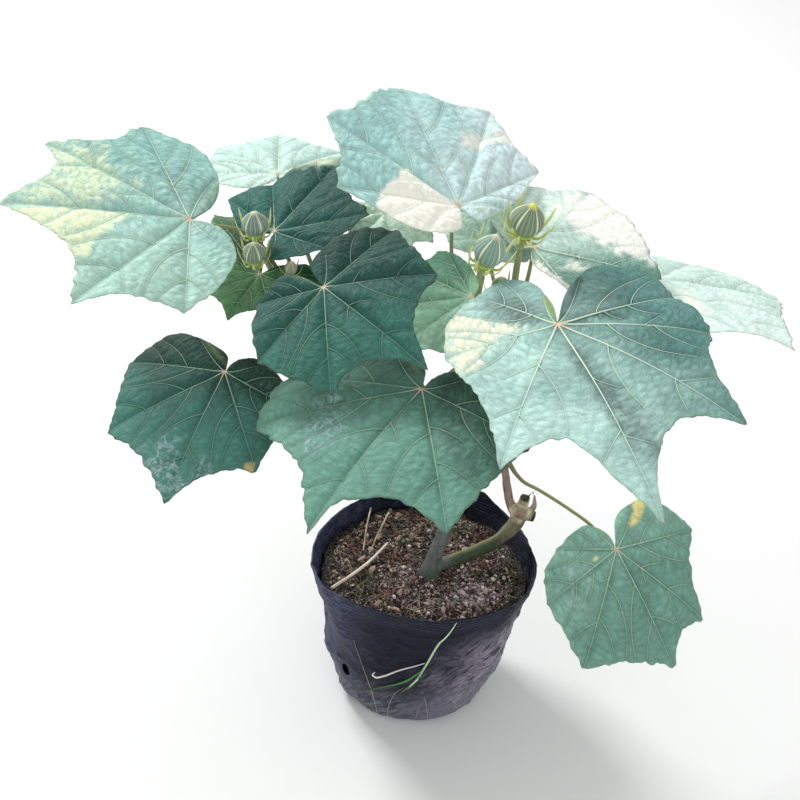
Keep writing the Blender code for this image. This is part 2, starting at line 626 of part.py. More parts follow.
def make_soil():
    inset = BAG_WALL + GAP
    floor = bag_rings([0.0], inset, lift=inset)
    floor[0][:, :2] *= FOOT_SHARE
    side = bag_rings(BAG_LEVELS, inset)
    edge = side[-1]
    tops = []
    for ring in range(SOIL_RINGS):
        share = 1 - ring / SOIL_RINGS
        flat = edge[:, :2] * share
        level = soil_height(flat[:, 0], flat[:, 1])
        tops.append(np.column_stack([flat, level]))
    rings = np.vstack([floor, side, np.array(tops)])
    head = (0, 0, float(soil_height(0.0, 0.0)))
    points, faces = close_rings(rings, (0, 0, inset), head)
    soil = add_object("potting_soil", points, faces, "potting_soil")
    trunk = WOODY_STEM[BURIED_TUBE]
    hole = dict(trunk, radii=tuple(r + GAP / MM for r in trunk["radii"]))
    below = (trunk["path"][0][0], trunk["path"][0][1], trunk["path"][0][2] - GAP / MM)
    hole["path"] = (below, *trunk["path"][1:])
    cut(soil, tube_object("stem_cutter", "potting_soil", **hole))


def make_dry_stalks():
    """Stalks that lie on the soil or lean on it, each point at its own clearance above it."""
    for name, stalk in DRY_STALKS.items():
        path = []
        for x, y, clearance in stalk["path"]:
            level = float(soil_height(x * MM, y * MM)) / MM
            path.append((x, y, level + stalk["radius"] + clearance))
        tube_object(name, "straw", path=path, radii=(stalk["radius"], 0.8 * stalk["radius"]), sides=6)


def make_grass_sprig():
    """A thin sprig held against the bag's side, one blade forking from the other."""
    blades = []
    for i, route in enumerate(GRASS_SPRIG):
        path = []
        for bearing, level in route:
            turn = math.radians(bearing)
            reach = float(bag_radius(turn, level * MM)) / MM + GRASS_RADIUS + GRASS_CLEARANCE
            path.append((reach * math.cos(turn), reach * math.sin(turn), level))
        blades.append(tube_object(f"grass_sprig_{i}", "grass_green", path=path,
                                  radii=(0.6, GRASS_RADIUS, 0.5), sides=5))
    blades[0].name = "grass_sprig"
    fuse(blades[0], blades[1:])


def main():
    clear_scene()
    make_bag()
    make_soil()
    make_woody_stem()
    for name, shape in SHOOTS.items():
        make_shoot(name, shape)
    for name, leaf in all_leaves().items():
        make_leaf(name, leaf)
    for name, bud in BUDS.items():
        make_calyx(name, bud)
        make_bracts(name + "_bracts", bud)
    make_dry_stalks()
    make_grass_sprig()


main()
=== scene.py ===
import math

import bpy
import numpy as np
from mathutils import Matrix, Vector


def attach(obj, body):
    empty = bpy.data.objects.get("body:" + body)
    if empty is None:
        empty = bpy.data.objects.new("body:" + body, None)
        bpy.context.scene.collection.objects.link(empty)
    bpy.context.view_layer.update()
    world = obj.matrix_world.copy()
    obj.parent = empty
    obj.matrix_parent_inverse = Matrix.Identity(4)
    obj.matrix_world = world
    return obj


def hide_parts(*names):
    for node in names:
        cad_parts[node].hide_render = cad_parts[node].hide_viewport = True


# A potted cotton rose: leaves, shoots, buds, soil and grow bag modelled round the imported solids.
# Dictionaries hold millimetres, degrees and screen colours; meshes are in metres.
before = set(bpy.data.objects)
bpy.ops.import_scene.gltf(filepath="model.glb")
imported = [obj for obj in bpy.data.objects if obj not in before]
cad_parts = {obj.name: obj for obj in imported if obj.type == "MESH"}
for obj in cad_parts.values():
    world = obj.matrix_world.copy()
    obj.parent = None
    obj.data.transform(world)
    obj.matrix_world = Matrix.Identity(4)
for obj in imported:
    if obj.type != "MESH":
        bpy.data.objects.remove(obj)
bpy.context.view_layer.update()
mm = 0.001
print("frame loaded with", len(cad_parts), "nodes")


# Numbers and noise

def tint(red, green, blue):  # a screen colour from 0 to 255, as the linear colour a shader takes
    c = np.array([red, green, blue]) / 255
    linear = np.where(c <= 0.04045, c / 12.92, ((c + 0.055) / 1.055) ** 2.4)
    return (*linear.tolist(), 1.0)


def between(first, second, share):  # a screen colour part of the way from one to another
    return tuple(a + (b - a) * share for a, b in zip(first, second))


def ease(x, low, high):  # 0 below low, 1 above high, and a smooth step in between
    t = np.clip((x - low) / (high - low), 0, 1)
    return t * t * (3 - 2 * t)


def turnsRound(count):  # even steps round a full turn
    return np.linspace(0, 2 * np.pi, count, endpoint=False)


def circle(turn):  # points of a unit circle
    return np.stack([np.cos(turn), np.sin(turn)], -1)


def drawnOut(values, count):  # a few values, spread evenly over many
    return np.interp(np.linspace(0, 1, count), np.linspace(0, 1, len(values)), values)


def cornerValue(cells, seed):  # a fixed number from -1 to 1 for each whole-number cell corner
    x, y, z = (cells[..., i] for i in range(3))
    h = (x * 73856093) ^ (y * 19349663) ^ (z * 83492791) ^ (seed * 265443576)
    h = ((h ^ (h >> 13)) * 1274126177) & 0x7FFFFFFF
    h = ((h ^ (h >> 15)) * 668265263) & 0x7FFFFFFF
    return (h & 0xFFFF) / 32767.5 - 1


# Value noise: the eight corner values of a point's cell, blended by smooth steps along each axis;
# each finer octave has twice the pitch and half the height
def noise(points, size, seed=0, octaves=1):
    points = np.asarray(points, float)
    if points.shape[-1] == 2:
        points = np.concatenate([points, np.zeros_like(points[..., :1])], -1)
    total = 0
    for octave in range(octaves):
        p = points / size * 2 ** octave + 17.3 * octave
        cell = np.floor(p).astype(np.int64)
        t = p - cell
        t = t * t * (3 - 2 * t)
        for corner in np.ndindex(2, 2, 2):
            weight = np.prod(np.where(corner, t, 1 - t), axis=-1)
            total = total + weight * cornerValue(cell + np.array(corner), seed + octave) / 2 ** octave
    return total


def ridge(points, size, seed):  # 1 on the lines where the noise changes sign, less beside them
    return 1 - np.abs(noise(points, size, seed, 2))


# Curves, grids and pieces

# A smooth curve through the points: cubic spans whose slope at a point is the mean of its two
# spans' slopes, the shorter span counting more
def smoothSpans(points, steps):
    pts = np.array(points, float)
    chords = np.diff(pts, axis=0)
    lengths = np.linalg.norm(chords, axis=1)[:, None]
    slopes = chords / lengths
    inner = (slopes[:-1] * lengths[1:] + slopes[1:] * lengths[:-1]) / (lengths[:-1] + lengths[1:])
    slopes = np.vstack([slopes[:1], inner, slopes[-1:]])
    t = np.linspace(0, 1, steps + 1)[None, :-1, None]
    a, b = pts[:-1, None], pts[1:, None]
    m, n = (slopes[:-1] * lengths)[:, None], (slopes[1:] * lengths)[:, None]
    spans = ((2 * t**3 - 3 * t**2 + 1) * a + (t**3 - 2 * t**2 + t) * m
             + (3 * t**2 - 2 * t**3) * b + (t**3 - t**2) * n)
    return np.vstack([spans.reshape(-1, pts.shape[1]), pts[-1:]])


def runAlong(line):  # the length of a line up to each of its points
    return np.concatenate([[0], np.cumsum(np.linalg.norm(np.diff(line, axis=0), axis=1))])


def evenCurve(points, samples):  # the same curve at even steps of its length
    dense = smoothSpans(points, 16)
    run = runAlong(dense)
    want = np.linspace(0, run[-1], samples)
    return np.stack([np.interp(want, run, column) for column in dense.T], -1)


def unit(vectors):  # each vector over its own length
    return vectors / np.linalg.norm(vectors, axis=-1, keepdims=True)


def lineFrames(line, guide=None):  # two directions across a line, carried along it without twist
    along = unit(np.gradient(line, axis=0))
    if guide is None:
        guide = (0, 0, 1) if abs(along[0][2]) < 0.8 else (1, 0, 0)
    guide = np.array(guide, float)
    across = []
    for direction in along:
        guide = guide - direction * guide.dot(direction)
        guide = guide / np.linalg.norm(guide)
        across.append(guide)
    across = np.array(across)
    return across, np.cross(along, across)


def ringFaces(rings, sides):  # four-sided faces between rings, and a fan of triangles at each end
    low = np.arange(sides)
    high = np.roll(low, -1)
    step = (np.arange(rings - 1) * sides)[:, None]
    quads = np.stack([step + low, step + high, step + high + sides, step + low + sides], -1)
    foot, head, top = rings * sides, rings * sides + 1, (rings - 1) * sides
    fans = np.concatenate([np.stack([np.full(sides, foot), high, low], -1),
                           np.stack([np.full(sides, head), top + low, top + high], -1)])
    return [quads.reshape(-1, 4), fans]


def ringBody(rings, foot, top, values=None):  # rings of points, closed by one point at each end
    points = np.concatenate([rings.reshape(-1, 3), [foot], [top]])
    return {"points": points, "faces": ringFaces(*rings.shape[:2]), "values": values or {}}


# A tube: round each point of a line, line + radius (cos turn · across + flatten · sin turn · lift)
def tubePart(line, radius, sides, flatten=1.0, guide=None, values=None):
    across, lift = lineFrames(line, guide)
    turn = turnsRound(sides)
    radius = np.asarray(radius, float)
    radius = np.broadcast_to(radius[:, None] if radius.ndim == 1 else radius, (len(line), sides))
    ring = (across[:, None] * np.cos(turn)[:, None] + lift[:, None] * flatten * np.sin(turn)[:, None])
    part = ringBody(line[:, None] + radius[..., None] * ring, line[0], line[-1])
    for key, along in (values or {}).items():
        along = np.broadcast_to(np.asarray(along, float), (len(line),))
        part["values"][key] = np.concatenate([np.repeat(along, sides), along[:1], along[-1:]])
    return part


def joinParts(parts):  # several closed bodies in one mesh
    points, faces, start = [], [], 0
    for part in parts:
        points.append(part["points"])
        faces += [face + start for face in part["faces"]]
        start += len(part["points"])
    values = {key: np.concatenate([part["values"][key] for part in parts]) for key in parts[0]["values"]}
    return {"points": np.concatenate(points), "faces": faces, "values": values}


def setFields(mesh, fields):  # one number at each mesh point, for the materials
    for key, value in fields.items():
        layer = mesh.attributes.new(key, "FLOAT", "POINT")
        layer.data.foreach_set("value", value.astype(np.float32))


def putIn(name, data):  # a new object in the scene
    placed = bpy.data.objects.new(name, data)
    bpy.context.scene.collection.objects.link(placed)
    return placed


# A piece from a part's points, faces, shading fields and maps, with what it stands for in the frame
def addPiece(name, part, materials, stands=(), smooth=True):
    mesh = bpy.data.meshes.new(name)
    sizes = np.concatenate([np.full(len(face), face.shape[1]) for face in part["faces"]])
    corners = np.concatenate([face.ravel() for face in part["faces"]]).astype(np.int32)
    starts = np.concatenate([[0], np.cumsum(sizes)[:-1]]).astype(np.int32)
    mesh.vertices.add(len(part["points"]))
    mesh.vertices.foreach_set("co", part["points"].astype(np.float32).ravel())
    mesh.loops.add(len(corners))
    mesh.loops.foreach_set("vertex_index", corners)
    mesh.polygons.add(len(sizes))
    mesh.polygons.foreach_set("loop_start", starts)
    mesh.update(calc_edges=True)
    mesh.polygons.foreach_set("use_smooth", np.full(len(sizes), smooth))
    setFields(mesh, part["values"])
    for key in ("bladeMap", "ringMap"):
        if key in part:
            layer = mesh.uv_layers.new(name=key)
            layer.data.foreach_set("uv", part[key][corners].astype(np.float32).ravel())
    for material in materials:
        mesh.materials.append(material)
    piece = putIn(name, mesh)
    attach(piece, "root")
    if stands:
        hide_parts(*stands)
    return piece


# Materials

# One procedural material. Its methods add nodes; a colour is a socket or a screen colour, and
# "colour" is the look so far, over which the next layer is laid by a share
class Skin:
    def __init__(self, name, roughness, specular, sheen=0.0):
        self.made = bpy.data.materials.new(name)
        self.made.use_nodes = True
        self.tree = self.made.node_tree
        self.inputs = self.tree.nodes["Principled BSDF"].inputs
        self.colour = None
        self.inputs["Roughness"].default_value = roughness
        self.inputs["Specular IOR Level"].default_value = specular
        self.inputs["Sheen Weight"].default_value = sheen

    def add(self, kind, inputs=(), **settings):
        added = self.tree.nodes.new("ShaderNode" + kind)
        for key, value in settings.items():
            setattr(added, key, value)
        for key, value in dict(inputs).items():
            if isinstance(value, bpy.types.NodeSocket):
                self.tree.links.new(value, added.inputs[key])
            else:
                added.inputs[key].default_value = value
        return added.outputs

    def mix(self, share, first, second):
        first, second = (c if isinstance(c, bpy.types.NodeSocket) else tint(*c) for c in (first, second))
        return self.add("Mix", {0: share, 6: first, 7: second}, data_type="RGBA", clamp_factor=True)[2]

    def over(self, share, colour):
        self.colour = self.mix(share, self.colour, colour)

    def calc(self, operation, *values):
        return self.add("Math", enumerate(values), operation=operation)[0]

    def times(self, first, second):
        return self.calc("MULTIPLY", first, second)

    def plus(self, first, second):
        return self.calc("ADD", first, second)

    def minus(self, first, second):
        return self.calc("SUBTRACT", first, second)

    def swing(self, noise, share):  # noise about its middle, times a share
        return self.times(self.minus(noise, 0.5), share)

    def step(self, value, low, high, bottom=0.0, top=1.0):  # bottom below low, top above high
        return self.add("MapRange", {0: value, 1: low, 2: high, 3: bottom, 4: top},
                        interpolation_type="SMOOTHSTEP")[0]

    def field(self, name):
        return self.add("Attribute", attribute_name=name)["Fac"]

    def flatMap(self, name):
        return self.add("UVMap", uv_map=name)[0]

    def place(self):
        return self.add("TexCoord")["Object"]

    def axes(self, place):
        return self.add("SeparateXYZ", {0: place})

    def stretch(self, place, scale):
        return self.add("Mapping", {"Vector": place, "Scale": scale})[0]

    def grain(self, place, scale, detail=3.0, rough=0.55, distortion=0.0):
        return self.add("TexNoise", {"Vector": place, "Scale": scale, "Detail": detail, "Roughness": rough,
                                     "Distortion": distortion})[0]

    def cells(self, place, scale):  # distance to the nearest edge between flat cells
        return self.add("TexVoronoi", {"Vector": place, "Scale": scale}, feature="DISTANCE_TO_EDGE",
                        voronoi_dimensions="2D")["Distance"]

    def bump(self, height, strength, distance, below=None):
        inputs = {"Height": height, "Strength": strength, "Distance": distance}
        return self.add("Bump", inputs if below is None else {**inputs, "Normal": below})[0]

    def finish(self, normal=None, roughness=None):
        for key, socket in (("Base Color", self.colour), ("Roughness", roughness), ("Normal", normal)):
            if socket is not None:
                self.tree.links.new(socket, self.inputs[key])
        return self.made


# Leaves

# Each leaf: where its veins meet, the midrib's heading and rise, bank, droop (1/m) and swell (mm);
# "tips" and "edge" are the pointed and rounded points of its outline as (angle, reach);
# "near" and "far" are its colours on the two sides of the line at toneTurn: its own tones, with
# painted shade making one side darker; each lit, shaded or dusty patch is the softness of its edge
# in mm, its strength and its corners: lit patches are painted sunlight, shaded ones painted shade
leafTable = {
    "leaf_far_left": dict(
        at=(-184, 0, 411), heading=199, rise=10, bank=-15, droop=0.6, swell=3,
        tips=((-79, 106), (-39, 122), (-4, 132), (43, 127), (80, 91)),
        edge=((-141, 23), (-125, 47), (-109, 73), (-61, 94), (-31, 105), (27, 98), (56, 97), (102, 65),
              (133, 41), (160, 22)),
        near=(178, 218, 204), far=(146, 194, 186), toneTurn=-109, sun=(236, 247, 206), patchy=0.38,
        shade=((11, 0.42, ((-60, 30), (-85, 45), (-121, 50), (-146, 34), (160, 26), (138, 34), (120, 14),
                (30, 6))),),
        lit=((2.5, 0.9, ((-2, 134), (-3, 79), (-3, 42), (17, 59), (24, 78), (31, 91), (26, 104),
              (10, 120))),
             (14, 0.7, ((-2, 134), (-25, 107), (-37, 124), (-53, 96), (-48, 72), (-44, 48), (-6, 60))))),
    "leaf_top": dict(
        at=(5, 30, 423), heading=118, rise=23, bank=9, droop=0.2, swell=3,
        tips=((-71, 92), (-38, 119), (-3, 119), (38, 117), (74, 93)),
        edge=((-150, 16), (-105, 34), (-52, 94), (-23, 107), (6, 117), (26, 109), (51, 97), (87, 69),
              (116, 50), (160, 22)),
        near=(222, 242, 244), far=(164, 210, 204), toneTurn=60, toneShift=-0.1, sun=(255, 255, 245),
        patchy=0.08,
        lit=((2.4, 1.0, ((36, 46), (43, 8), (-158, 3), (172, 22), (129, 44), (109, 60), (90, 68),
              (75, 62))),
             (4, 0.75, ((-26, 76), (-38, 84), (-48, 108), (-56, 95), (-44, 78), (-33, 62), (-24, 62))))),
    "leaf_front_right": dict(
        at=(74, -100, 408), heading=281, rise=-3, bank=8, droop=2.9, swell=4, sag=-5,
        tips=((-140, 73), (-83, 79), (-29, 127), (11, 172), (47, 143), (84, 105), (109, 95)),
        edge=((-184, 24), (-172, 56), (-160, 70), (-112, 74), (-43, 91), (-12, 104), (4, 141), (15, 136),
              (31, 113), (67, 101), (132, 102), (147, 87), (158, 45)),
        near=(192, 229, 219), far=(76, 127, 121), toneTurn=118, sun=(246, 244, 220), patchy=0.42,
        foldTint=0.8,
        shade=((12, 0.55, ((166, 55), (150, 78), (134, 84), (112, 66), (92, 40), (84, 18), (120, 5),
                (172, 14))),
               (7, 0.7, ((4, 22), (26, 28), (22, 60), (22, 90), (20, 130), (14, 130), (11, 102), (6, 60))),
               (9, 0.7, ((-136, 64), (-152, 60), (-165, 38), (-168, 14), (-118, 12), (-112, 25),
                (-121, 49))),
               (14, 0.3, ((80, 36), (82, 74), (70, 84), (56, 92), (52, 60), (60, 30)))),
        lit=((6, 0.9, ((-109, 80), (-121, 72), (-107, 23), (-84, 40), (-76, 51), (-62, 65), (-67, 80))),)),
    "leaf_front": dict(
        at=(-12, -110, 355), heading=239, rise=-6, bank=4, droop=2.4, swell=3,
        tips=((-77, 103), (-50, 117), (1, 142), (40, 129), (86, 90)),
        edge=((-152, 24), (-129, 52), (-103, 80), (-21, 102), (5, 114), (15, 106), (26, 106), (54, 105),
              (112, 67), (152, 45), (172, 24)),
        near=(103, 153, 137), far=(38, 76, 64), toneTurn=165, sun=(150, 182, 180),
        shade=((10, 0.55, ((166, 20), (130, 52), (104, 80), (82, 92), (66, 96), (50, 92), (46, 60),
                (62, 18))),
               (9, 0.6, ((-150, 18), (-120, 22), (-96, 62), (-108, 80), (-130, 54)))),
        dust=((9, 0.8, ((-42, 84), (-33, 56), (-14, 70), (-22, 92))),
              (8, 0.7, ((-56, 84), (-65, 50), (-48, 44), (-40, 72))))),
    "leaf_low_left": dict(
        at=(-151, -60, 324), heading=247, rise=-20, bank=4, droop=1.9, swell=2,
        tips=((-83, 79), (-41, 93), (5, 110), (42, 90), (78, 65)),
        edge=((-160, 14), (-136, 27), (-111, 59), (-59, 78), (-12, 88), (25, 85), (57, 74), (104, 39),
              (142, 22), (165, 12)),
        near=(73, 131, 118), far=(10, 38, 30), toneTurn=180, toneShift=0.3, sun=(214, 190, 130),
        lit=((1.5, 0.8, ((36, 85), (39, 81), (43, 84), (40, 90))),),
        dust=((7, 0.9, ((-18, 84), (-6, 60), (10, 90), (19, 74), (24, 92), (6, 113), (-4, 104))),)),
    "leaf_centre": dict(
        at=(-84, -60, 399), heading=318, rise=-4, bank=27, droop=2.0, swell=3,
        tips=((-131, 49), (-88, 70), (-43, 86), (-2, 100), (47, 80), (88, 69)),
        edge=((-165, 32), (-107, 57), (-64, 73), (-31, 72), (-8, 82), (20, 68), (67, 67), (107, 55),
              (130, 38), (160, 22)),
        near=(53, 111, 99), far=(18, 54, 46), toneTurn=132, sun=(150, 182, 180)),
    "leaf_inner_left": dict(
        at=(-126, 20, 396), heading=51, rise=20, bank=-5, droop=0.2, swell=2,
        tips=((-85, 50), (-47, 70), (7, 90), (46, 59), (80, 63)),
        edge=((-150, 16), (-143, 30), (-128, 36), (-108, 39), (-64, 59), (-12, 64), (28, 73), (96, 38),
              (130, 20)),
        near=(41, 104, 95), far=(26, 79, 71), toneTurn=-60, sun=(218, 234, 206), patchy=0.2,
        lit=((7, 0.85, ((40, 66), (33, 78), (16, 98), (3, 84), (8, 76), (22, 68))),)),
    "leaf_back_right": dict(
        at=(61, 20, 400), heading=45, rise=8, bank=7, droop=1.4, swell=3, sag=-4,
        tips=((-104, 50), (-56, 94), (15, 89), (60, 84), (86, 54)),
        edge=((-140, 17), (-73, 66), (-26, 84), (37, 73), (110, 26), (140, 14)),
        near=(226, 248, 238), far=(108, 156, 142), toneTurn=-95, sun=(255, 255, 248), patchy=0.24,
        lit=((2, 1.0, ((147, 6), (-163, 6), (-100, 52), (-130, 42), (-160, 22))),
             (4, 0.7, ((-106, 27), (-63, 27), (-61, 57), (-80, 39))),
             (11, 0.95, ((30, 55), (15, 94), (0, 90), (-19, 94), (-47, 99), (-44, 68), (-28, 46), (-6, 40),
              (14, 42))))),
    "leaf_far_right": dict(
        at=(158, 45, 368), heading=329, rise=0, bank=-13, droop=1.0, swell=3,
        tips=((-85, 72), (-41, 93), (-10, 120), (44, 103), (94, 77)),
        edge=((-160, 16), (-140, 38), (-112, 52), (-62, 76), (-26, 98), (16, 94), (66, 82), (118, 54),
              (142, 36), (162, 16)),
        near=(226, 246, 240), far=(210, 238, 228), toneTurn=90, calm=0.5, sun=(250, 246, 230), patchy=0.5,
        lit=((7, 0.7, ((-25, 16), (-6, 30), (-34, 70), (-50, 66))),)),
    "leaf_low_right": dict(
        at=(150, -20, 163), heading=312, rise=-38, bank=6, droop=2.4, swell=3,
        tips=((-115, 50), (-80, 75), (-45, 99), (2, 102), (31, 94), (80, 78)),
        edge=((-176, 12), (-153, 29), (-95, 67), (-62, 83), (-21, 88), (14, 84), (50, 68), (96, 67),
              (121, 50), (150, 24)),
        near=(150, 196, 178), far=(112, 158, 144), toneTurn=10, sun=(240, 228, 150), patchy=0.3,
        lit=((2.5, 0.95, ((128, 46), (116, 50), (111, 36), (116, 22), (122, 24), (126, 36))),
             (1.5, 0.9, ((-88, 20), (-91, 25), (-95, 22), (-92, 19)))),
        dust=((10, 0.6, ((-70, 30), (-60, 62), (-88, 60), (-95, 36))),)),
    "leaf_bud_left": dict(
        at=(-134, 2, 370), heading=245, rise=-17, bank=0, droop=2.0, swell=2,
        tips=((-125, 86), (-80, 34), (-43, 40), (0, 46), (43, 43), (90, 52)),
        edge=((-160, 12), (-145, 56), (-106, 54), (-62, 32), (-22, 37), (22, 37), (66, 40), (110, 44),
              (128, 36), (140, 22)),
        near=(120, 170, 122), far=(60, 108, 76), toneTurn=100, sun=(190, 210, 150),
        shade=((8, 0.85, ((-156, 16), (-147, 60), (-126, 92), (-104, 58), (-106, 22))),
               (5, 0.9, ((-176, 12), (-150, 36), (-128, 64), (-110, 62), (-94, 34), (-84, 10))),
               (5, 0.6, ((100, 12), (96, 40), (120, 46), (146, 26), (160, 8))))),
    "leaf_inner_centre": dict(
        at=(18, -40, 389), heading=165, rise=-14, bank=-20, droop=2.0, swell=3,
        tips=((-58, 60), (-30, 66), (5, 80), (43, 66), (86, 50)),
        edge=((-115, 8), (-84, 22), (-44, 56), (-12, 62), (24, 62), (65, 52), (115, 40), (142, 27),
              (162, 14)),
        near=(178, 226, 196), far=(116, 168, 142), toneTurn=-75, sun=(160, 190, 160)),
    "leaf_back_left": dict(
        at=(-132, 110, 397), heading=95, rise=0, bank=0, droop=2.0, swell=2, length=86,
        near=(212, 238, 228), far=(196, 228, 218), toneTurn=0, sun=(250, 250, 240)),
    "leaf_under_top": dict(
        at=(-48, 45, 405), heading=285, rise=-8, bank=0, droop=2.0, swell=2, length=52,
        near=(222, 242, 228), far=(214, 238, 222), toneTurn=0, sun=(250, 250, 240)),
    "leaf_behind_bud": dict(
        at=(31, 44, 388), heading=70, rise=15, bank=0, droop=1.0, swell=2, length=58,
        near=(196, 228, 218), far=(208, 236, 226), toneTurn=0, sun=(250, 250, 240)),
}

# Leaves that are mostly hidden share one even outline, as shares of their length
evenTips = ((-88, 0.66), (-43, 0.86), (0, 1.0), (43, 0.86), (88, 0.66))
evenEdge = ((-165, 0.16), (-145, 0.36), (-118, 0.52), (-65, 0.68), (-22, 0.78),
            (22, 0.78), (65, 0.68), (118, 0.52), (145, 0.36), (165, 0.16))

leafLook = {
    "rowPitch": 2.38, "leastRows": 24, "film": 0.35,      # mesh pitch and blade thickness
    "notchReach": 3.5, "notchAngle": 8,
    "mainVein": 1.3, "sideVein": 0.72,                    # widths where they start
    # side veins: where they leave, at what angle, and how far they bend
    "sideStarts": (0.32, 0.62), "sideLean": 56, "sideTurn": 42,
    "grooveDepth": 0.9, "grooveWidth": 3.2, "sideGroove": 0.55,
    "puckerHeight": 1.05, "puckerLength": 4.6, "puckerBreadth": 10.5, "sag": 1.6,
    "edgeWave": 1.2, "edgeTooth": 2.4, "edgeFall": 1.0,
    "puckerLow": 0.3, "mapWidth": 300,
}


def leafOutline(leaf):  # its own tips and edge, or the shared ones times its length
    if "length" in leaf:
        return [[(angle, share * leaf["length"]) for angle, share in pairs] for pairs in (evenTips, evenEdge)]
    return leaf["tips"], leaf["edge"]


def isPale(leaf):  # in the sun, by the sum of its three colour values
    return sum(leaf["near"]) > 420


def polar(pairs):  # (angle, reach) pairs as x and y
    angle, reach = np.radians([p[0] for p in pairs]), np.array([p[1] for p in pairs], float)
    return np.stack([reach * np.cos(angle), reach * np.sin(angle)], -1)


def leafSectors(leaf, samples=161):  # the margin from one main vein to the next, notch to notch
    tips, edge = leafOutline(leaf)
    notch = leafLook["notchAngle"]
    reach = leafLook["notchReach"]
    ends = [(edge[0][0] - notch, reach), *tips, (edge[-1][0] + notch, reach)]
    sectors = []
    for first, last in zip(ends[:-1], ends[1:]):
        inside = [p for p in edge if first[0] < p[0] < last[0]]
        sectors.append(evenCurve(polar([first, *inside, last]), samples))
    return sectors


def sectorPoint(curve, across, out):  # the margin at a share across the sector, scaled by the share out
    share = np.linspace(0, 1, len(curve))
    return np.stack([np.interp(across, share, curve[:, i]) * out for i in range(2)], -1)


# The flat blade: in each sector row r holds r + 1 points, margin(column / row) times row / rows;
# neighbouring sectors then share the points on their common vein
def bladeGrid(sectors, rows):
    row, column = np.tril_indices(rows + 1)
    out, across = row / rows, column / np.maximum(row, 1)
    index = row * (row + 1) // 2 + column
    full = column < row
    low = index[full] - row[full]
    outer = np.stack([low, index[full], index[full] + 1], -1)
    part = column < row - 1
    low = index[part] - row[part]
    inner = np.stack([low, index[part] + 1, low + 1], -1)
    faces = np.concatenate([outer, inner])
    flat = np.concatenate([sectorPoint(curve, across, out) for curve in sectors])
    faces = np.concatenate([faces + i * len(row) for i in range(len(sectors))])
    across, out = np.tile(across, len(sectors)), np.tile(out, len(sectors))
    first, where = np.unique(np.round(flat, 4), axis=0, return_index=True, return_inverse=True)[1:]
    faces = where.ravel()[faces]
    return flat[first], across[first], out[first], faces


# A side vein leaves a main vein at "sideLean", turns towards its tip by "sideTurn" on the way, and
# stops half way to the next main vein or near the margin
def sideVein(sectors, tip, start, aside):
    size = np.linalg.norm(tip)
    ahead = tip / size
    beside = aside * np.array([-ahead[1], ahead[0]])
    w = np.linspace(0, 1, 160)
    lean = np.radians(leafLook["sideLean"] - leafLook["sideTurn"] * np.minimum(w * 1.8, 1) ** 0.8)
    run = np.cumsum(circle(lean), axis=0) * size / len(w)
    run = run - run[0]
    line = tip * start + run[:, :1] * ahead + run[:, 1:] * beside
    across, out = sectorShares(sectors, line)
    half = across < 0.5 if aside > 0 else across > 0.5
    stays = (out < 0.965) & (half | (w < 0.08))
    count = len(w) if stays.all() else int(np.argmin(stays))
    return line[np.linspace(0, count - 1, 14).astype(int)] if count > 18 else None


# Veins: each main vein runs straight to its tip, as part of the sectors' borders, with side veins on
# both sides; each basal lobe has one more vein from the junction
def leafVeins(sectors, size, seed):
    rng = np.random.default_rng(seed)
    w = np.linspace(0, 1, 20)
    share = np.linspace(0, 0.985, 36)
    veins = []
    for i, curve in enumerate(sectors):
        if i in (0, len(sectors) - 1):
            away = 0.42 if i == 0 else 0.58
            bend = away + (0.16 if i == 0 else -0.16) * (1 - w) ** 1.5
            veins.append({"line": sectorPoint(curve, bend, 0.9 * w), "main": 0.7, "along": w,
                          "width": leafLook["mainVein"] * 0.62 * size * (1 - 0.75 * w)})
        if i == 0:
            continue
        veins.append({"line": share[:, None] * curve[0], "main": 1.0, "along": share,
                      "width": leafLook["mainVein"] * size * (1 - 0.72 * share**0.8)})
        for aside in (1, -1):
            for start in leafLook["sideStarts"]:
                begin = start + rng.uniform(-0.07, 0.06)
                line = sideVein(sectors, curve[0], begin, aside)
                width = leafLook["sideVein"] * size * (1 - 0.35 * start) * (1 - 0.6 * w[:14] / w[13])
                if line is not None:
                    veins.append({"line": line, "main": 0.0, "along": np.full(14, begin), "width": width})
    return veins


def lineDistance(flat, line):  # the distance from each point to the nearest piece of a line
    a, b = line[:-1], line[1:]
    run = b - a
    t = ((flat[:, None] - a) * run).sum(-1) / np.maximum((run**2).sum(-1), 1e-9)
    near = a + np.clip(t, 0, 1)[..., None] * run
    return np.sqrt(((flat[:, None] - near) ** 2).sum(-1).min(1))


def veinFields(flat, veins):  # the distance to the nearest main vein and to the nearest side vein
    main, side = np.full(len(flat), 99.0), np.full(len(flat), 99.0)
    for vein in veins:
        line = vein["line"][::3] if vein["main"] == 1 else vein["line"][::2]
        line = np.vstack([line, vein["line"][-1:]])
        target = main if vein["main"] else side
        np.minimum(target, lineDistance(flat, line), out=target)
    return main, side


